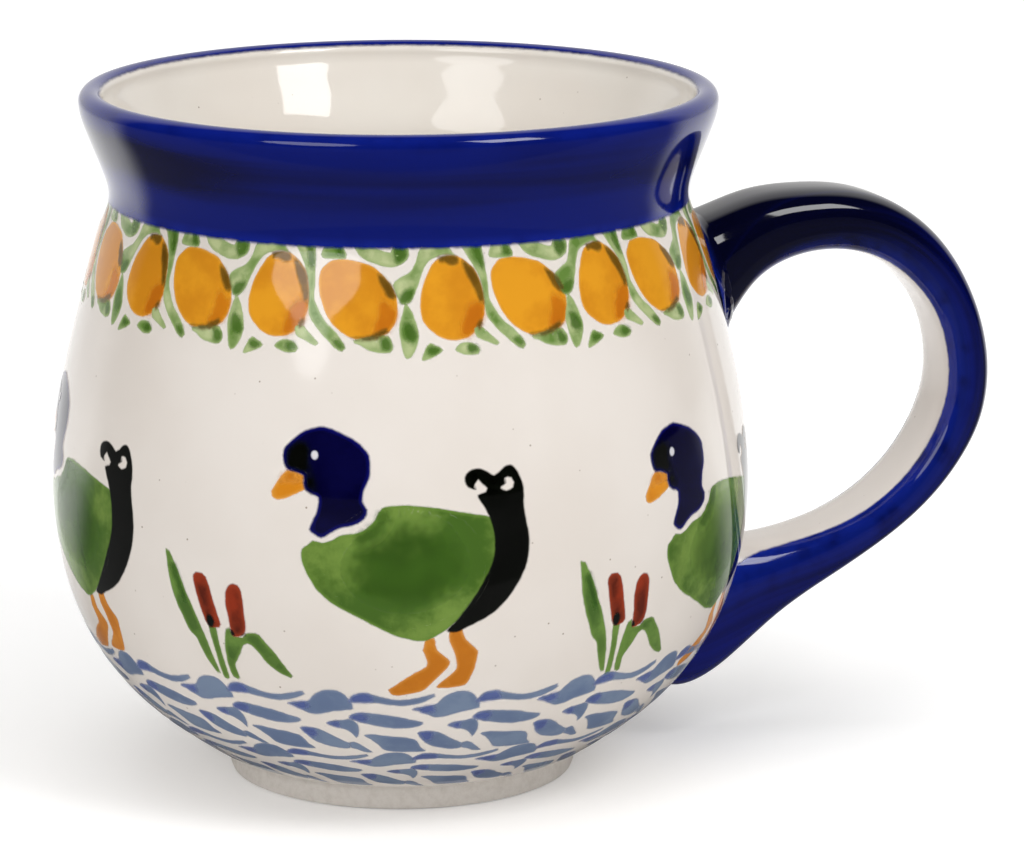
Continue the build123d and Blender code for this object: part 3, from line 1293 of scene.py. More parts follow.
    def luting(
        self, name: str, shape: PotShape, rings: np.ndarray, at_top: bool, finishes: Finishes
    ) -> None:
        """The smeared clay that blends a root into the pot.

        Args:
            name: the joint's node.
            shape: the pot's outline.
            rings: the strap's sections.
            at_top: whether it is the upper root.
            finishes: the materials.
        """
        sections = rings[: len(rings) // 2] if at_top else rings[len(rings) // 2 :][::-1]
        reach = self.bare if at_top else self.bare + self.bare_more
        on_grip = self.from_grip(sections)[8] < reach
        gap = np.hypot(sections[..., 0], sections[..., 1]) - shape.outer_radius(sections[..., 2])
        meet, away = [], []
        for j in range(sections.shape[1]):
            first = int(np.argmax(gap[:, j] > 0))
            first = max(first, 1)
            low, high = gap[first - 1, j], gap[first, j]
            t = np.clip(-low / (high - low), 0, 1) if high != low else 0.0
            meet.append(sections[first - 1, j] * (1 - t) + sections[first, j] * t)
            out = sections[min(first + 3, len(sections) - 1), j] - meet[-1]
            away.append(out / np.linalg.norm(out))
        meet, away = np.array(meet), np.array(away)
        aside = meet - meet.mean(0)
        radial = meet * (1, 1, 0)
        radial /= np.linalg.norm(radial, axis=1, keepdims=True)
        aside -= (aside * radial).sum(1, keepdims=True) * radial
        aside /= np.linalg.norm(aside, axis=1, keepdims=True)
        turn = np.linspace(0, 1, 9)[:, None, None]
        on_strap, on_pot = meet + self.climb * away, meet + self.spread * aside
        on_pot = self.onto_pot(on_pot, shape, 0.03)
        corner = self.onto_pot(meet, shape, 0.1)
        outer = (1 - turn) ** 2 * on_strap + 2 * turn * (1 - turn) * corner + turn**2 * on_pot
        inner = self.onto_pot(outer, shape, -0.6)
        inner[0] = meet + self.climb * 0.6 * away - 0.3 * aside
        t = np.repeat(turn[:, :, 0], outer.shape[1], axis=1)
        if at_top:
            outer = self.crumpled(outer, 4 * t * (1 - t))
        piece = self.shell(f"{name}_smear", outer, inner, finishes.cobalt_handle, wrapped=True)
        cover, thin = 0.5 + (0.9 - t) / 0.12, np.clip((t - 0.45) * 1.6, 0, 1)
        bare = np.clip(0.5 + (0.55 - t) / 0.15, 0, 1) * on_grip[None, :]
        self.finish(piece, name, cover=cover, thin=thin, bare=bare)

    @staticmethod
    def finish(piece: bpy.types.Object, node: str, **values: np.ndarray) -> None:
        """Gives both sheets of a shell its attributes, closes it and places it for a node."""
        for label, sheet in values.items():
            set_values(piece.data, label, np.tile(sheet.ravel(), 2))
        close_up(piece, 60.0)
        place(piece, (node,), "cobalt_glaze")

    def crumpled(self, spots: np.ndarray, amount: np.ndarray) -> np.ndarray:
        """The smear with a few creases where the potter's thumb pressed its near side home."""
        outwards = self.creases * np.array([0.55, -0.8, 0.1])
        moved = spots.copy()
        for index in np.ndindex(spots.shape[:2]):
            x, y, z = spots[index]
            near = max(0.0, min(1.0, (-y - 3.0) / 2.0)) * math.exp(-(((z - 62.5) / 4.0) ** 2))
            ridge = 1.0 - abs(noise.noise(Vector((x * 0.8, y * 0.8, z * 0.5)))) * 2.2
            moved[index] += outwards * near * ridge * amount[index]
        return moved

    @staticmethod
    def onto_pot(spots: np.ndarray, shape: PotShape, proud: float) -> np.ndarray:
        """Spots moved in or out level until they stand proud of the pot's glaze.

        Args:
            spots: the spots, of any shape with x, y, z last.
            shape: the pot's outline.
            proud: how far out of the glaze; negative is inside it.

        Returns:
            The moved spots.
        """
        around = np.hypot(spots[..., 0], spots[..., 1])
        wanted = shape.outer_radius(spots[..., 2]) + proud
        moved = spots.copy()
        moved[..., :2] *= (wanted / around)[..., None]
        return moved


# ---------------------------------------------------------------- the decoration


@dataclass(frozen=True)
class Stroke:
    """One touch of the stamp or brush.

    Attributes:
        outline: its edge, x round the pot and y up it.
        pigment: what it is painted with.
        layer: 0 for what was laid down first.
        soft: how far its edge bleeds to either side.
        hole: a bare spot inside it.
    """

    outline: Points
    pigment: Pigment
    layer: int = 0
    soft: float = 0.16
    hole: Points | None = None


SINK = 0.06  # how far a stroke's underside lies in the glaze
FIRST_LIFT, LAYER_LIFT = 0.035, 0.02  # how far its top stands out, and how much more per layer
OUTLINE_STEP, FILL_STEP = 0.5, 0.9  # spacing of the mesh's points along and inside an outline
CLEARANCE = 0.3  # how far the points inside stay from those along it
BLEED = 1.3  # how far beyond its outline a stroke's mesh runs, in widths of its soft edge
SOFT_RINGS = (0.0, 1.0, 2.2)  # where points follow the outline inside it, in the same widths
ON_RING = 0.02  # how near its ring a point must be to be kept


def cut(stroke: Stroke) -> tuple[np.ndarray, list, np.ndarray, np.ndarray, np.ndarray]:
    """Meshes one stroke as a thin closed wafer, flat.

    Args:
        stroke: the stroke.

    Returns:
        Vertices, faces, and for each vertex its cover, its depth inside the edge and its side.
    """
    outline = loop(stroke.outline, OUTLINE_STEP)
    hole = loop(stroke.hole, OUTLINE_STEP) if stroke.hole else None
    reach = BLEED * stroke.soft

    def depth_of(spots: np.ndarray) -> np.ndarray:
        """How deep inside the stroke some spots are."""
        deep = depth_inside(spots, outline)
        return deep if hole is None else np.minimum(deep, -depth_inside(spots, hole))

    depths = tuple(share * stroke.soft for share in SOFT_RINGS)
    rings = [inset(outline, d) for d in (-reach, *depths)]
    if hole is not None:
        rings += [inset(hole, d) for d in (reach, 0.0, -stroke.soft)]
    low, high = outline.min(0), outline.max(0)
    columns = np.arange(low[0], high[0], FILL_STEP)
    rows = np.arange(low[1], high[1], FILL_STEP)
    grid = np.array([(x + (i % 2) * FILL_STEP / 2, y) for i, y in enumerate(rows) for x in columns])
    spots = np.vstack(rings[1:4] + rings[5:])
    kept = spots[np.abs(depth_of(spots)[:, None] - np.array(depths)).min(1) < ON_RING]
    deep = depth_of(grid)
    clear = np.abs(deep[:, None] - np.array([-reach, *depths])).min(1) > CLEARANCE
    inner = grid[clear & (deep > 0)]
    bounds = [rings[0]] + ([rings[4]] if hole is not None else [])
    edges, start = [], 0
    for ring in bounds:
        count = len(ring)
        edges += [(start + i, start + (i + 1) % count) for i in range(count)]
        start += count
    seeds = np.vstack([*bounds, kept, inner])
    made = delaunay_2d_cdt([Vector(p) for p in seeds.tolist()], edges, [], 0, 1e-4)
    flat = np.array([tuple(v) for v in made[0]])
    middles = np.array([flat[list(f)].mean(0) for f in made[2]])
    faces = [list(f) for f, d in zip(made[2], depth_of(middles)) if d > -reach]
    turned = []
    for face in faces:
        a, b, c = flat[face[:3]]
        area = (b[0] - a[0]) * (c[1] - a[1]) - (b[1] - a[1]) * (c[0] - a[0])
        turned.append(face if area > 0 else face[::-1])
    used = sorted({v for face in turned for v in face})
    number = {v: i for i, v in enumerate(used)}
    top = [[number[v] for v in face] for face in turned]
    flat = flat[used]
    total = len(flat)
    sides = {}
    for face in top:
        for a, b in zip(face, face[1:] + face[:1]):
            if sides.pop((b, a), None) is None:
                sides[(a, b)] = True
    bottom = [[v + total for v in face[::-1]] for face in top]
    walls = [[b, a, a + total, b + total] for a, b in sides]
    lift = FIRST_LIFT + LAYER_LIFT * stroke.layer
    heights = np.concatenate([np.full(total, lift), np.full(total, -SINK)])
    vertices = np.column_stack([np.vstack([flat, flat]), heights])
    deep = depth_of(flat)
    cover = np.tile(0.5 + 0.5 * deep / stroke.soft, 2)
    side = np.concatenate([np.ones(total), -np.ones(total)])
    return vertices, top + bottom + walls, cover, np.tile(deep, 2), side


def motif(name: str, strokes: list[Stroke], stretch: float = 1.0) -> bpy.types.Object:
    """A flat motif of several strokes as one mesh object, in metres.

    Args:
        name: the object's name.
        strokes: what it is made of.
        stretch: scale of x round the pot, which makes up for a narrower part of it.

    Returns:
        The object, with the attributes cover, depth, side and pigment.
    """
    order = list(Pigment)
    parts = {"vertices": [], "cover": [], "depth": [], "side": []}
    faces, pigments, start = [], [], 0
    for stroke in strokes:
        vertices, own_faces, cover, depth, side = cut(stroke)
        for label, values in zip(parts, (vertices, cover, depth, side)):
            parts[label].append(values)
        faces += [[v + start for v in face] for face in own_faces]
        pigments += [order.index(stroke.pigment)] * len(own_faces)
        start += len(vertices)
    vertices = np.vstack(parts.pop("vertices"))
    vertices[:, 0] *= stretch
    made = plain_object(name, vertices, faces)
    for label, values in parts.items():
        set_values(made.data, label, np.concatenate(values))
    layer = made.data.attributes.new("pigment", "INT", "FACE")
    layer.data.foreach_set("value", pigments)
    return made


def keep_used_materials(mesh: bpy.types.Mesh) -> None:
    """Drops a mesh's material slots that none of its faces use."""
    indices = np.zeros(len(mesh.polygons), np.int32)
    mesh.polygons.foreach_get("material_index", indices)
    used = sorted(set(indices.tolist()))
    materials = [mesh.materials[i] for i in used]
    mesh.materials.clear()
    for material in materials:
        mesh.materials.append(material)
    mesh.polygons.foreach_set("material_index", np.searchsorted(used, indices).astype(np.int32))


TEARDROP = [
    (-16.2, 21.2), (-15.5, 21.6), (-13.2, 22.0), (-12.3, 22.9), (-11.3, 23.7), (-10.0, 24.1),
    (-8.7, 24.0), (-7.8, 23.4), (-7.2, 22.4), (-6.8, 21.7), (-6.8, 21.0), (-8.0, 20.7),
    (-10.0, 20.3), (-11.5, 19.8), (-13.0, 19.7), (-14.2, 20.3), (-15.3, 20.9),
]  # fmt: skip
LONG_LENS = [
    (-7.4, 22.1), (-6.9, 23.1), (-6.0, 23.7), (-4.5, 23.7), (-3.0, 23.2), (-1.0, 22.7),
    (1.0, 22.8), (3.0, 23.3), (4.2, 23.6), (4.4, 23.1), (3.0, 22.3), (1.5, 21.8), (0.0, 21.6),
    (-2.0, 21.8), (-4.0, 22.1), (-6.0, 22.1),
]  # fmt: skip
LOW_LENS = [
    (-7.6, 19.3), (-7.0, 20.1), (-5.5, 20.4), (-3.5, 20.2), (-1.0, 19.8), (1.0, 19.2),
    (2.9, 18.6), (2.5, 17.9), (1.0, 17.5), (-1.0, 17.4), (-3.0, 17.7), (-5.0, 18.2), (-6.5, 18.7),
]  # fmt: skip
FIN = [
    (-11.1, 18.1), (-10.0, 18.7), (-8.6, 18.9), (-7.3, 19.1), (-6.6, 18.3), (-6.4, 17.5),
    (-6.5, 16.3), (-7.0, 15.3), (-7.5, 16.2), (-8.5, 17.0), (-10.0, 17.5),
]  # fmt: skip
BLOB = [
    (-15.4, 16.7), (-15.0, 17.0), (-13.0, 17.0), (-11.5, 16.3), (-10.2, 15.3), (-8.8, 14.4),
    (-8.2, 14.0), (-8.4, 12.8), (-10.0, 12.7), (-12.0, 13.2), (-13.6, 14.0), (-14.6, 15.2),
]  # fmt: skip
CHIP = [
    (-8.3, 14.2), (-7.6, 14.4), (-6.8, 14.0), (-5.8, 13.0), (-4.8, 11.9), (-6.0, 11.9),
    (-7.4, 12.6), (-8.3, 13.0),
]  # fmt: skip
WIDE_BLOB = [
    (-5.8, 15.9), (-4.5, 16.2), (-2.5, 15.9), (0.0, 15.6), (1.8, 15.1), (2.4, 14.2),
    (2.8, 13.2), (3.6, 12.2), (1.0, 12.0), (-2.6, 12.4), (-3.8, 13.8), (-4.8, 15.0),
]  # fmt: skip

WATER_SHADES = (
    [(-7.4, 22.1), (-6.9, 23.1), (-6.0, 23.6), (-4.4, 23.6), (-4.0, 22.4), (-5.5, 22.1)],
    [(-16.1, 21.2), (-15.2, 21.6), (-13.4, 22.0), (-13.0, 21.0), (-14.2, 20.4), (-15.3, 20.9)],
    [(-7.5, 19.3), (-7.0, 20.0), (-5.6, 20.3), (-4.8, 19.6), (-5.4, 18.6), (-6.5, 18.8)],
    [(-11.0, 18.1), (-10.0, 18.6), (-9.2, 18.6), (-9.2, 17.4), (-10.0, 17.5)],
    [(-15.3, 16.7), (-14.8, 17.0), (-13.2, 16.9), (-13.0, 15.6), (-14.0, 14.9), (-14.7, 15.6)],
)

DUCK_HEAD = [
    (-10.0, 58.2), (-9.0, 58.1), (-7.25, 57.5), (-5.75, 56.8), (-4.4, 55.75), (-3.7, 54.75),
    (-3.55, 53.25), (-3.7, 52.0), (-4.25, 50.75), (-4.5, 49.25), (-3.9, 48.25), (-4.25, 47.1),
    (-5.5, 46.3), (-7.0, 45.95), (-8.0, 45.5), (-9.0, 44.8), (-9.6, 44.6), (-10.5, 45.0),
    (-11.05, 45.6), (-10.75, 46.5), (-10.1, 48.0), (-10.0, 49.5), (-10.75, 49.9), (-11.6, 50.4),
    (-11.9, 51.25), (-11.9, 52.1), (-13.1, 52.6), (-14.0, 52.75), (-14.6, 53.9), (-14.6, 55.1),
    (-13.9, 56.1), (-12.9, 57.0), (-11.75, 57.75),
]  # fmt: skip
DUCK_CHEEK = [
    (-14.1, 53.3), (-14.1, 55.0), (-13.2, 56.0), (-12.0, 56.3), (-11.2, 55.4), (-11.2, 53.6),
    (-10.6, 52.0), (-10.2, 50.4), (-10.8, 50.2), (-11.6, 51.0), (-11.7, 52.3), (-12.9, 52.8),
]  # fmt: skip
DUCK_BEAK = [
    (-14.0, 52.7), (-13.0, 52.6), (-11.8, 52.1), (-11.9, 51.4), (-11.7, 50.5), (-13.0, 49.75),
    (-14.0, 49.3), (-15.25, 49.0), (-15.9, 49.4), (-16.0, 50.0), (-15.4, 51.0), (-14.75, 52.0),
]  # fmt: skip
DUCK_BODY = [
    (-12.0, 43.1), (-11.4, 43.6), (-10.6, 44.25), (-9.5, 44.05), (-8.25, 44.4), (-7.25, 45.0),
    (-6.0, 45.25), (-5.0, 45.4), (-4.0, 46.0), (-3.0, 47.0), (-2.4, 48.1), (-1.75, 48.6),
    (0.0, 48.8), (2.0, 48.7), (4.5, 48.4), (7.0, 47.9), (9.5, 47.4), (11.1, 47.0), (11.6, 46.0),
    (11.9, 44.5), (11.9, 42.75), (11.5, 41.0), (10.75, 39.5), (9.75, 37.75), (8.5, 36.0),
    (7.25, 34.25), (5.75, 32.9), (4.5, 32.1), (3.25, 31.5), (2.1, 31.4), (1.0, 31.7),
    (-0.5, 32.1), (-3.0, 33.4), (-5.5, 34.75), (-8.0, 36.1), (-10.0, 37.75), (-11.0, 39.25),
    (-11.75, 40.75), (-12.1, 42.0),
]  # fmt: skip
DUCK_TAIL = [
    (5.7, 32.7), (6.9, 34.1), (8.2, 35.8), (9.4, 37.6), (10.4, 39.4), (11.15, 41.0),
    (11.55, 42.7), (11.55, 44.5), (11.3, 46.0), (10.9, 47.1), (10.5, 48.0), (9.9, 49.0),
    (9.6, 49.75), (10.6, 50.1), (10.8, 50.5), (10.2, 51.1), (9.75, 51.6), (9.3, 51.1),
    (9.45, 50.4), (9.0, 50.45), (8.4, 50.75), (8.05, 51.5), (8.25, 52.4), (9.0, 52.9),
    (10.0, 52.95), (11.0, 52.5), (11.75, 52.05), (12.4, 52.4), (13.0, 52.95), (13.9, 53.2),
    (14.5, 52.75), (15.0, 51.9), (15.4, 50.75), (15.5, 49.5), (15.45, 48.0), (15.7, 46.25),
    (15.95, 44.75), (16.05, 43.25), (15.9, 41.75), (15.5, 40.25), (14.6, 38.4), (13.25, 36.5),
    (11.75, 35.0), (10.0, 33.9), (8.25, 33.1), (7.0, 32.5),
]  # fmt: skip
TAIL_CURL_GAP = [
    (13.1, 51.6), (13.9, 51.6), (14.25, 51.0), (14.1, 50.4), (13.25, 50.1), (12.55, 50.4),
    (12.6, 50.6), (13.25, 51.0),
]  # fmt: skip
FRONT_LEG = [
    (2.9, 30.6), (3.1, 31.6), (4.2, 31.8), (4.4, 30.8), (4.6, 30.1), (5.5, 29.25), (6.3, 28.4),
    (6.0, 27.5), (4.9, 26.25), (3.6, 24.75), (2.75, 24.0), (1.25, 23.6), (-0.5, 23.3),
    (-1.4, 23.6), (-1.7, 24.25), (-0.75, 25.0), (0.5, 26.0), (2.0, 27.0), (3.25, 27.75),
    (3.4, 28.25), (3.0, 29.5), (2.75, 30.1),
]  # fmt: skip
REAR_LEG = [
    (6.05, 32.4), (6.3, 33.2), (7.5, 33.4), (7.75, 32.5), (8.1, 31.6), (9.0, 30.6), (9.8, 29.75),
    (9.75, 28.5), (9.4, 26.75), (8.75, 25.1), (8.0, 24.6), (6.5, 24.4), (4.9, 24.4),
    (4.6, 24.6), (5.25, 25.4), (6.25, 26.25), (7.1, 27.25), (7.1, 28.25), (6.75, 29.75),
    (6.1, 31.25),
]  # fmt: skip

REED_BLADE = [
    (-31.2, 41.1), (-30.6, 40.9), (-29.9, 39.6), (-29.2, 38.2), (-28.4, 36.0), (-27.6, 34.2),
    (-26.8, 32.0), (-26.2, 30.2), (-25.7, 28.0), (-25.4, 26.4), (-25.1, 24.9), (-25.6, 24.9),
    (-26.4, 26.2), (-27.2, 28.2), (-27.7, 29.7), (-28.6, 30.7), (-29.4, 32.6), (-30.0, 34.0),
    (-30.6, 36.0), (-30.9, 37.6), (-31.1, 39.6),
]  # fmt: skip
REED_STEM = [
    (-25.4, 31.9), (-24.4, 31.9), (-24.2, 29.5), (-24.0, 27.0), (-23.9, 24.4), (-24.7, 24.3),
    (-24.9, 26.0), (-25.1, 28.5),
]  # fmt: skip
REED_BENT = [
    (-22.9, 31.7), (-22.3, 32.0), (-22.0, 31.0), (-20.6, 30.8), (-20.0, 31.4), (-18.7, 31.6),
    (-18.2, 31.4), (-17.4, 30.4), (-16.4, 29.2), (-15.4, 27.6), (-14.6, 26.3), (-14.3, 25.8),
    (-14.6, 25.5), (-15.2, 25.7), (-16.2, 26.2), (-17.6, 27.4), (-18.6, 28.8), (-19.5, 29.8),
    (-20.0, 30.0), (-20.6, 29.7), (-21.2, 28.6), (-21.9, 27.4), (-22.4, 26.6), (-22.3, 25.6),
    (-22.2, 24.6), (-22.6, 24.3), (-23.2, 24.7), (-23.5, 26.2), (-23.5, 28.2), (-23.3, 30.0),
]  # fmt: skip
CATTAIL_LEFT = [
    (-27.05, 37.6), (-26.95, 38.4), (-26.6, 38.75), (-25.6, 38.75), (-25.1, 38.3),
    (-24.7, 37.2), (-24.3, 35.6), (-23.9, 33.8), (-23.5, 32.2), (-23.8, 31.8), (-24.6, 31.6),
    (-25.1, 31.65), (-25.7, 32.2), (-26.2, 33.8), (-26.6, 35.4),
]  # fmt: skip
CATTAIL_RIGHT = [
    (-22.5, 35.5), (-22.35, 36.8), (-21.9, 37.6), (-21.2, 37.95), (-20.6, 37.8), (-20.15, 37.0),
    (-20.0, 35.6), (-19.95, 34.0), (-19.9, 32.4), (-20.3, 31.3), (-21.2, 30.8), (-21.9, 30.75),
    (-22.2, 31.6), (-22.3, 33.4), (-22.5, 34.6),
]  # fmt: skip

UPRIGHT_FRUIT = [
    (4.8, 78.5), (6.6, 79.1), (8.0, 79.1), (9.4, 78.3), (10.6, 77.2), (11.2, 75.8), (11.55, 74.0),
    (11.55, 72.4), (11.0, 70.8), (10.0, 69.7), (8.8, 69.0), (7.2, 68.75), (5.6, 69.0),
    (4.2, 69.8), (3.0, 71.0), (2.55, 72.4), (2.6, 74.0), (3.0, 75.6), (3.8, 77.2),
]  # fmt: skip
TILTED_FRUIT = [
    (12.9, 77.0), (13.6, 77.8), (14.4, 78.4), (15.8, 78.6), (17.4, 78.5), (19.0, 78.2),
    (20.6, 77.7), (21.8, 76.8), (23.0, 75.6), (23.8, 74.2), (24.0, 72.8), (23.9, 71.4),
    (23.2, 70.1), (22.0, 69.3), (20.6, 68.8), (19.0, 68.75), (17.6, 69.0), (16.4, 69.6),
    (15.2, 70.5), (14.2, 71.7), (13.5, 73.0), (13.0, 74.4), (12.8, 75.8),
]  # fmt: skip
ARCH_LEAF = [
    (-1.2, 75.6), (0.0, 76.6), (1.2, 77.2), (2.0, 78.4), (2.4, 79.6), (3.2, 80.4), (4.4, 80.8),
    (6.0, 80.8), (6.9, 80.2), (7.8, 79.1), (6.6, 79.3), (5.0, 79.0), (3.8, 78.4), (3.0, 77.2),
    (2.4, 75.8), (1.8, 74.4), (1.0, 73.4), (0.0, 73.3),
]  # fmt: skip
LONG_VINE = [
    (8.6, 81.0), (9.5, 79.2), (10.6, 77.4), (11.3, 75.6), (11.5, 74.1), (11.7, 71.8),
    (12.8, 70.2), (14.4, 68.7), (15.6, 67.7), (16.6, 67.3), (17.0, 67.7), (16.2, 69.0),
    (15.2, 70.0), (14.0, 71.0), (13.0, 72.4), (12.3, 73.8), (12.3, 75.5), (12.1, 77.5),
    (11.9, 79.5), (11.5, 81.0),
]  # fmt: skip
COMMA_LEAF = [
    (17.4, 81.0), (19.8, 80.9), (21.0, 80.0), (23.0, 79.5), (23.4, 80.4), (24.6, 80.6),
    (25.7, 79.8), (25.4, 78.6), (24.0, 77.8), (22.4, 77.7), (20.8, 78.1), (19.2, 78.6),
    (18.0, 79.6),
]  # fmt: skip
FAN_LEAF = [(13.0, 78.7), (13.2, 80.0), (13.8, 81.0), (15.6, 81.0), (16.2, 79.8), (16.5, 78.7)]
TALL_LEAF = [
    (0.5, 73.3), (1.4, 72.3), (2.0, 70.8), (2.3, 69.3), (1.9, 67.9), (1.2, 66.8), (0.7, 66.6),
    (0.2, 67.2), (-0.2, 68.8), (-0.4, 70.3), (0.0, 71.9),
]  # fmt: skip
SMALL_LEAVES = (
    [(2.6, 66.4), (3.0, 67.6), (3.7, 68.5), (4.5, 68.2), (5.5, 67.6), (4.6, 67.0), (3.4, 66.5)],
    [
        (7.1, 67.6), (7.8, 68.3), (8.8, 68.5), (9.8, 68.2), (10.5, 67.5), (10.2, 67.0),
        (8.8, 66.9), (7.8, 67.2),
    ],
    [
        (9.9, 70.1), (10.9, 70.3), (11.9, 69.5), (13.3, 68.2), (12.9, 67.9), (11.4, 68.5),
        (10.1, 69.1),
    ],
    [
        (18.0, 68.7), (22.0, 69.4), (23.0, 69.0), (23.4, 68.0), (23.0, 67.3), (21.8, 67.2),
        (20.2, 67.5), (19.0, 68.1),
    ],
)  # fmt: skip
FRUIT_SHADES = (
    [
        (9.4, 73.0), (11.4, 73.5), (11.4, 71.5), (10.4, 69.9), (9.0, 69.1), (8.1, 69.4),
        (8.3, 71.0), (8.8, 72.0),
    ],
    [
        (21.8, 73.6), (23.8, 72.5), (23.7, 71.0), (22.8, 69.8), (21.2, 69.3), (20.6, 69.8),
        (21.2, 71.3),
    ],
)  # fmt: skip
FRUIT_OVERLAPS = (
    [
        (8.8, 78.5), (10.5, 77.3), (11.3, 75.6), (11.6, 73.0), (10.9, 73.2), (10.2, 75.0),
        (9.2, 76.8),
    ],
    [(5.2, 79.0), (6.6, 79.3), (8.1, 79.1), (8.2, 78.2), (7.4, 77.9), (6.2, 78.3), (5.4, 78.3)],
    [(21.2, 76.9), (23.0, 75.8), (23.9, 74.0), (22.9, 73.8), (21.8, 75.2)],
    [(17.6, 69.0), (20.0, 69.3), (22.5, 70.3), (22.8, 69.8), (21.4, 68.9), (19.2, 68.6)],
    [(10.2, 70.5), (11.0, 71.3), (11.2, 70.6), (10.5, 69.9)],
)
LEAF_SHADES = (
    [(-0.3, 73.5), (0.6, 73.3), (1.5, 74.0), (1.7, 75.0), (0.6, 75.0), (-0.2, 74.4)],
    [(10.2, 80.9), (11.4, 80.9), (11.9, 79.0), (12.0, 77.2), (11.2, 77.6), (10.6, 79.2)],
    [(15.2, 68.6), (16.2, 68.8), (16.9, 67.8), (16.5, 67.4), (15.6, 67.9)],
    [(14.8, 81.0), (15.6, 81.0), (16.1, 79.8), (16.4, 78.9), (15.2, 78.9), (14.9, 79.8)],
    [(23.3, 79.4), (23.6, 80.3), (24.6, 80.5), (25.5, 79.7), (25.2, 78.7), (24.0, 78.1)],
    [(0.3, 71.0), (1.2, 71.0), (2.1, 69.8), (1.9, 68.7), (0.8, 68.7), (0.2, 69.6)],
    [(21.7, 69.0), (22.6, 69.1), (23.3, 68.2), (22.9, 67.5), (22.0, 67.6)],
    [(9.0, 68.3), (10.0, 68.2), (10.5, 67.5), (9.4, 67.0), (8.7, 67.6)],
    [(3.5, 68.0), (4.5, 68.1), (5.2, 67.6), (4.4, 67.0), (3.5, 67.2)],
)


def oval(middle: tuple[float, float], half: tuple[float, float]) -> Points:
    """An oval outline."""
    turns = [2 * math.pi * i / 10 for i in range(10)]
    return [(middle[0] + half[0] * math.cos(t), middle[1] + half[1] * math.sin(t)) for t in turns]


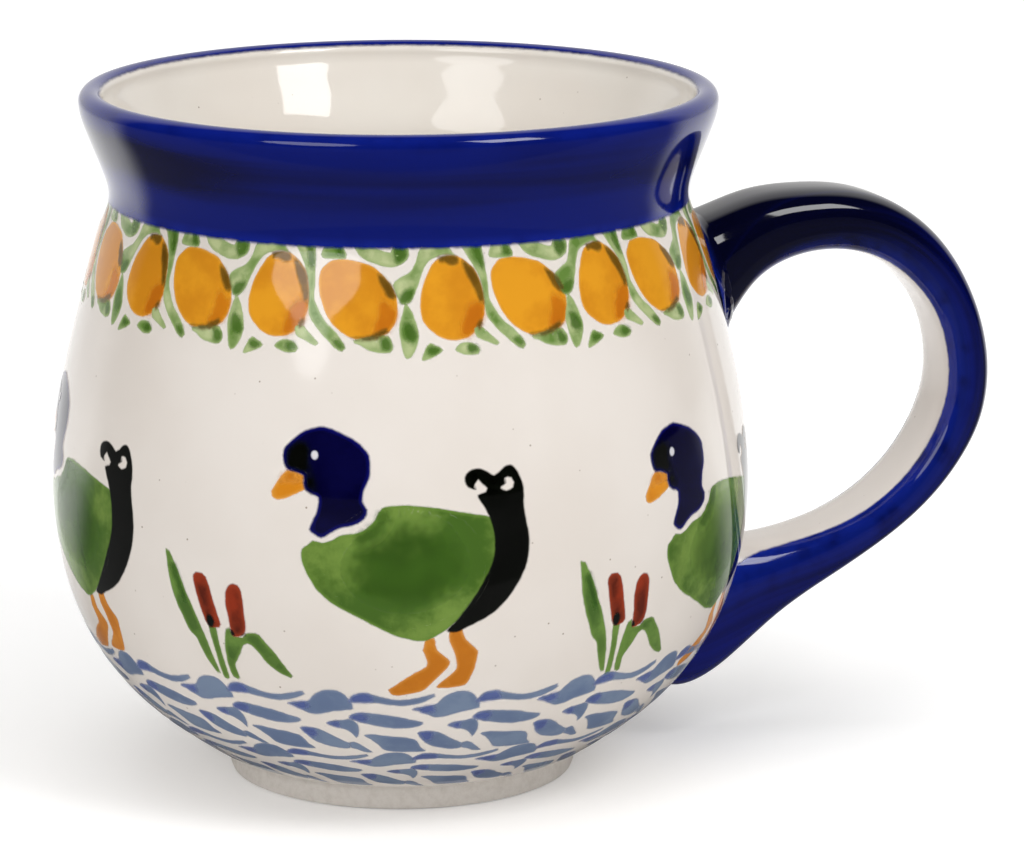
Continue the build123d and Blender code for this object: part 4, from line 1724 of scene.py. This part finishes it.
@dataclass
class Drawing:
    """The pond scene round the belly and the fruit band under the collar.

    Attributes:
        shape: the pot it is on.
        wrap: the node tree that stamps a motif round the pot.
        duck_places: how far round and up each duck stands from the front one.
        reed_places: how far round each clump of reeds stands from the one left of the front duck.
        fruit_pitch: spacing of the fruit band's stamps.
        fruit_runs: first stamp and number of stamps of each piece of the band.
        water_stamps: stamps round the pot in the upper and lower rows.
        lower_shift: how far the lower rows' stamps are moved from the upper ones.
        sway: how far a stamp may be turned, in radians.
        profile: the outline that the motifs are wrapped on.
        below: how much of it lies below the drawing's zero.
    """

    shape: PotShape
    wrap: bpy.types.NodeTree
    duck_places: tuple = ((0, 0), (49, -3), (-53, -0.4), (-106, 0), (-159, -0.6))
    reed_places: tuple = ((0, 0), (54, -0.7), (-53, 0.3), (-106, 0))
    fruit_pitch: float = 24.26
    fruit_runs: tuple = ((-8, 3), (-5, 3), (-2, 3), (1, 2))
    water_stamps: tuple = (16, 13)
    lower_shift: tuple = (7.0, -12.2)
    sway: float = 0.006
    profile: bpy.types.Object = field(init=False)
    below: float = field(init=False)

    def __post_init__(self) -> None:
        """Makes the chain that the drawing is wrapped on."""
        line, self.below = self.shape.drawing_line()
        points = np.column_stack([line[:, 0], np.zeros(len(line)), line[:, 1]])
        edges = [(i, i + 1) for i in range(len(line) - 1)]
        self.profile = plain_object("drawing_line", points, [], edges)

    def stamp(
        self,
        name: str,
        strokes: list[Stroke],
        finishes: Finishes,
        start: tuple[float, float] = (0.0, 0.0),
        count: int = 1,
        pitch: float = 0.0,
        stretch: float = 1.0,
        seed: int = 1,
        wander: float = 0.12,
    ) -> None:
        """Stamps a motif in a row, wraps it onto the pot and places it.

        Args:
            name: the piece's name.
            strokes: the motif.
            finishes: the materials.
            start: where the first stamp goes.
            count: number of stamps.
            pitch: their spacing round the pot.
            stretch: scale of the motif round the pot.
            seed: for the small misplacing of each stamp.
            wander: how far a stamp may be misplaced.
        """
        piece = motif(name, strokes, stretch)
        values = {
            "Profile": self.profile,
            "Count": count,
            "Start": start[0] * MM,
            "Pitch": pitch * MM,
            "Lift": start[1] * MM,
            "Sway": self.sway,
            "Wander": wander * MM,
            "Seed": seed,
            "Below": self.below * MM,
            "Wrap Radius": WRAP_RADIUS * MM,
            "Front": math.radians(FRONT_DEG),
            **{pigment.value: finishes.paints[pigment] for pigment in Pigment},
        }
        run_nodes(piece, self.wrap, values)
        mesh = piece.data
        keep_used_materials(mesh)
        outward = np.zeros(len(mesh.vertices) * 3, np.float32)
        side = np.zeros(len(mesh.vertices), np.float32)
        mesh.attributes["outward"].data.foreach_get("vector", outward)
        mesh.attributes["side"].data.foreach_get("value", side)
        normals = outward.reshape(-1, 3) * side[:, None]
        normals /= np.maximum(np.linalg.norm(normals, axis=1, keepdims=True), 1e-9)
        mesh.shade_smooth()
        mesh.normals_split_custom_set_from_vertices(normals.tolist())
        for label in ("outward", "side", "pigment"):
            mesh.attributes.remove(mesh.attributes[label])
        piece.visible_shadow = False
        piece.visible_diffuse = False
        place(piece, (), None)

    def duck(self) -> list[Stroke]:
        """A duck walking left."""
        green_neck = [
            (-5.3, 45.0), (-4.0, 45.9), (-3.0, 46.9), (-2.4, 48.0), (-1.0, 48.2), (-1.4, 46.6),
            (-2.6, 45.0), (-4.2, 43.9), (-5.4, 44.0),
        ]  # fmt: skip
        green_middle = [
            (-6.5, 40.5), (-5.4, 43.2), (-2.0, 45.6), (2.2, 46.4), (6.0, 45.0), (7.8, 41.6),
            (6.6, 38.4), (3.0, 36.2), (-1.0, 36.0), (-4.6, 37.6),
        ]  # fmt: skip
        beak_top = [(-14.0, 52.6), (-12.0, 52.1), (-11.9, 51.5), (-13.6, 51.3), (-15.0, 51.3)]
        return [
            Stroke(FRONT_LEG, Pigment.LEG),
            Stroke(REAR_LEG, Pigment.LEG),
            Stroke(DUCK_BODY, Pigment.DUCK_GREEN, 1),
            Stroke(green_neck, Pigment.DUCK_SHADE, 2, 0.6),
            Stroke(green_middle, Pigment.DUCK_SHADE, 2, 2.6),
            Stroke(DUCK_TAIL, Pigment.BLACK, 2, hole=TAIL_CURL_GAP),
            Stroke(DUCK_BEAK, Pigment.BEAK, 1),
            Stroke(beak_top, Pigment.LEG, 2, 0.6),
            Stroke(DUCK_HEAD, Pigment.COBALT, 2, 0.2),
            Stroke(DUCK_CHEEK, Pigment.BLACK, 3, 0.6),
            Stroke(oval((-10.55, 54.7), (0.46, 0.56)), Pigment.WHITE, 4, 0.14),
        ]

    def reeds(self) -> list[Stroke]:
        """A clump of two cattails, a blade and a bent leaf."""
        blade_shade = [
            (-30.6, 39.0), (-29.7, 39.4), (-29.0, 37.5), (-28.3, 35.2), (-28.8, 34.4),
            (-29.6, 36.2), (-30.2, 37.6),
        ]  # fmt: skip
        return [
            Stroke(REED_BLADE, Pigment.REED),
            Stroke(blade_shade, Pigment.REED_SHADE, 1, 0.45),
            Stroke(REED_STEM, Pigment.REED),
            Stroke(REED_BENT, Pigment.REED),
            Stroke(CATTAIL_LEFT, Pigment.CATTAIL, 1),
            Stroke(CATTAIL_RIGHT, Pigment.CATTAIL, 1),
            Stroke(oval((-25.05, 32.5), (0.6, 0.95)), Pigment.BLACK, 2, 0.2),
            Stroke([(-22.3, 31.8), (-21.9, 31.7), (-21.6, 30.9), (-22.1, 30.9)], Pigment.BLACK, 2),
            Stroke([(-20.8, 31.0), (-20.1, 31.5), (-20.0, 31.1)], Pigment.BLACK, 2),
        ]

    def fruit(self) -> list[Stroke]:
        """Two orange fruits among leaves."""
        leaves = (ARCH_LEAF, LONG_VINE, COMMA_LEAF, FAN_LEAF, TALL_LEAF, *SMALL_LEAVES)
        return [
            Stroke(UPRIGHT_FRUIT, Pigment.FRUIT),
            Stroke(TILTED_FRUIT, Pigment.FRUIT),
            *(Stroke(outline, Pigment.FRUIT_SHADE, 1, 0.7) for outline in FRUIT_SHADES),
            *(Stroke(outline, Pigment.LEAF, 1) for outline in leaves),
            *(Stroke(outline, Pigment.OVERLAP, 2, 0.3) for outline in FRUIT_OVERLAPS),
            *(Stroke(outline, Pigment.LEAF_SHADE, 2, 0.4) for outline in LEAF_SHADES),
        ]

    def water(self, shift: tuple[float, float] = (0.0, 0.0), stretch: float = 1.0) -> list[Stroke]:
        """One stamp of ripples, its tip kept in place when it is stretched."""
        tip = TEARDROP[0][0]

        def moved(outline: Points) -> Points:
            """The outline as this stamp has it."""
            return [(tip + shift[0] + (x - tip) * stretch, y + shift[1]) for x, y in outline]

        ripples = (TEARDROP, LONG_LENS, LOW_LENS, FIN, BLOB, CHIP, WIDE_BLOB)
        return [
            *(Stroke(moved(outline), Pigment.WATER, 0, 0.22) for outline in ripples),
            *(Stroke(moved(outline), Pigment.WATER_SHADE, 1, 0.4) for outline in WATER_SHADES),
        ]

    def build(self, finishes: Finishes) -> None:
        """Makes and places the whole decoration."""
        for row, count in enumerate(self.water_stamps):
            pitch = TURN / count
            shift = self.lower_shift if row else (0.0, 0.0)
            stretch = self.water_stamps[0] / count if row else 1.0
            strokes = self.water(shift, stretch)
            runs = np.array_split(np.arange(count), 4)
            for part, run in enumerate(runs):
                name = f"water_{'lower' if row else 'upper'}_{part + 1}"
                start = (run[0] - count // 2) * pitch
                self.stamp(name, strokes, finishes, (start, 0.0), len(run), pitch, seed=part)
        for number, (first, count) in enumerate(self.fruit_runs, 1):
            name, pitch = f"fruit_band_{number}", self.fruit_pitch
            start = (first * pitch, 0.0)
            self.stamp(name, self.fruit(), finishes, start, count, pitch, seed=number)
        for number, spot in enumerate(self.duck_places, 1):
            self.stamp(f"duck_{number}", self.duck(), finishes, spot, seed=number)
        for number, spot in enumerate(self.reed_places, 1):
            self.stamp(f"reeds_{number}", self.reeds(), finishes, spot, seed=number)
        bpy.data.objects.remove(self.profile)


# ---------------------------------------------------------------- studio


BEHIND = (0.276, 0.961, 0.0)  # from the camera towards the mug
# BLACK is the floor's colour in reflections, a painted dark reflection.
FLOOR_TONE, BLACK = (0.93, 0.93, 0.93, 1.0), (0.0, 0.0, 0.0, 1.0)


def facing(azimuth: float, elevation: float) -> Vector:
    """The direction from the mug to something; azimuth 0 is in front of it and 90 on its right."""
    a, e = math.radians(azimuth), math.radians(elevation)
    return Vector((math.sin(a) * math.cos(e), -math.cos(a) * math.cos(e), math.sin(e)))


@dataclass
class Softbox:
    """One area light aimed at the mug.

    Attributes:
        azimuth: degrees round the mug, 0 in front and 90 on its right.
        elevation: degrees above the floor.
        distance: from the mug, in metres.
        size: width and height, in metres.
        power: in watts.
        disk: whether it is round.
        mirrored: whether the glaze mirrors it.
    """

    azimuth: float
    elevation: float
    distance: float
    size: tuple[float, float]
    power: float
    disk: bool = False
    mirrored: bool = True

    def build(self, name: str, aim: Vector) -> None:
        """Adds the light."""
        light = bpy.data.lights.new(name, "AREA")
        light.shape = "ELLIPSE" if self.disk else "RECTANGLE"
        light.size, light.size_y = self.size
        light.energy = self.power
        lamp = bpy.data.objects.new(name, light)
        lamp.visible_glossy = self.mirrored
        back = facing(self.azimuth, self.elevation)
        lamp.location = aim + back * self.distance
        lamp.rotation_mode = "QUATERNION"
        lamp.rotation_quaternion = (-back).to_track_quat("-Z", "Y")
        bpy.context.scene.collection.objects.link(lamp)


@dataclass
class Studio:
    """A pale table, soft lights and the camera.

    Attributes:
        azimuth: where the camera stands, in degrees; 0 looks along +Y.
        elevation: of the camera, in degrees.
        distance: of the camera from the mug's middle, in metres.
        lens: focal length on a 36 mm sensor.
        aside: how far right of the axis the camera is aimed, in metres.
        middle: the mug's middle.
        above: how far above the middle the camera is aimed, in metres.
        softboxes: the lights.
    """

    azimuth: float = -16.0
    elevation: float = 12.87
    distance: float = 0.6343
    lens: float = 171.3
    aside: float = 0.0145
    middle: Vector = field(default_factory=lambda: Vector((0, 0, 0.045)))
    above: float = 0.00033
    softboxes: tuple = (
        Softbox(-49, 29, 0.9, (0.5, 0.4), 1.55, disk=True),
        Softbox(29, 44, 0.9, (0.3, 0.34), 2.45),
        Softbox(-16, 80, 1.1, (1.1, 1.1), 6.0, mirrored=False),
    )

    def build(self) -> None:
        """Makes the floor, the lights, the world and the camera."""
        self.floor()
        for number, softbox in enumerate(self.softboxes, 1):
            softbox.build(f"softbox_{number}", self.middle)
        self.room()
        bpy.context.scene.view_settings.view_transform = "Standard"
        self.camera()

    @staticmethod
    def room() -> None:
        """A pale room that the glaze mirrors as dark in front of the mug and white behind it."""
        world = bpy.data.worlds.new("studio")
        world.use_nodes = True
        kit = NodeKit(world.node_tree)
        background = world.node_tree.nodes["Background"]
        background.inputs["Color"].default_value = (1.0, 0.99, 0.975, 1)
        way = kit.add("ShaderNodeTexCoord").outputs["Generated"]
        ahead = kit.vector_maths("DOT_PRODUCT", way, BEHIND)
        mirrored = kit.span(ahead, 0.36, 0.6, 0.008, 0.85)
        rays = kit.add("ShaderNodeLightPath").outputs
        level = kit.span(rays["Is Camera Ray"], 0.0, 1.0, 0.44, 1.0)
        glossy = rays["Is Glossy Ray"]
        other = kit.maths("MULTIPLY", level, kit.maths("SUBTRACT", 1.0, glossy))
        strength = kit.maths("MULTIPLY_ADD", mirrored, glossy, other)
        kit.put(background.inputs["Strength"], strength)
        bpy.context.scene.world = world

    @staticmethod
    def floor() -> None:
        """A wide pale tabletop with painted light: near black in reflections except behind the mug,
        and glowing though it is no lamp.
        """
        reach = 4.0
        mesh = bpy.data.meshes.new("floor")
        corners = [(-reach, -reach, 0), (reach, -reach, 0), (reach, reach, 0), (-reach, reach, 0)]
        mesh.from_pydata(corners, [], [(0, 1, 2, 3)])
        floor = bpy.data.objects.new("floor", mesh)
        bpy.context.scene.collection.objects.link(floor)
        material = bpy.data.materials.new("pale_table")
        material.use_nodes = True
        kit = NodeKit(material.node_tree)
        shader = material.node_tree.nodes["Principled BSDF"]
        shader.inputs["Roughness"].default_value = 0.9
        shader.inputs["Emission Color"].default_value = (1.0, 1.0, 1.0, 1.0)
        place = kit.place()
        ahead = kit.vector_maths("DOT_PRODUCT", place, BEHIND)
        distance = kit.vector_maths("LENGTH", place)
        straight = kit.ramp(kit.maths("DIVIDE", ahead, distance), 0.3, 0.55)
        beyond = kit.maths("MULTIPLY", straight, kit.ramp(ahead, -0.02, 0.14))
        near = kit.ramp(ahead, -0.121, -0.115)
        lit = kit.maths("MULTIPLY_ADD", near, 0.07, kit.maths("MULTIPLY", beyond, 0.9))
        rays = kit.add("ShaderNodeLightPath").outputs
        # Painted dark reflection: in reflections the floor is near black, a little lighter except
        # far in front, and pale behind the mug.
        dark = kit.maths("MULTIPLY", kit.maths("SUBTRACT", 0.99, lit), rays["Is Glossy Ray"])
        kit.put(shader.inputs["Base Color"], kit.blend(dark, FLOOR_TONE, BLACK))
        # Painted glow, though the floor is no lamp: for the camera it glows more with distance, and
        # in reflections behind the mug.
        camera_glow_by_distance = kit.span(distance, 0.04, 1.2, 0.14, 0.7)
        seen = kit.maths("MULTIPLY", camera_glow_by_distance, rays["Is Camera Ray"])
        reflected_floor_glow = kit.maths("MULTIPLY", beyond, rays["Is Glossy Ray"])
        glow = kit.maths("MULTIPLY_ADD", reflected_floor_glow, 0.4, kit.maths("ADD", seen, 0.06))
        kit.put(shader.inputs["Emission Strength"], glow)
        mesh.materials.append(material)

    def camera(self) -> None:
        """The camera, aimed a little to the right so that the handle is in view."""
        data = bpy.data.cameras.new("camera")
        data.lens, data.sensor_width = self.lens, 36.0
        data.clip_start, data.clip_end = 0.05, 20.0
        camera = bpy.data.objects.new("camera", data)
        back = facing(self.azimuth, self.elevation)
        right = facing(self.azimuth + 90.0, 0.0)
        camera.location = self.middle + back * self.distance
        upward = right.cross(-back)
        aim = self.middle + right * self.aside + upward * self.above - camera.location
        camera.rotation_mode = "QUATERNION"
        camera.rotation_quaternion = aim.to_track_quat("-Z", "Y")
        bpy.context.scene.collection.objects.link(camera)
        bpy.context.scene.camera = camera


def main() -> None:
    """Builds the mug round the frame, then the studio."""
    logging.basicConfig(level=logging.INFO, format="%(name)s %(message)s")
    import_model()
    shape = PotShape.from_frame()
    finishes = Finishes()
    Pot(shape, lathe_tree()).build(finishes)
    Strap().build(shape, finishes)
    Drawing(shape, wrap_tree()).build(finishes)
    Studio().build()


if __name__ == "__main__":
    main()
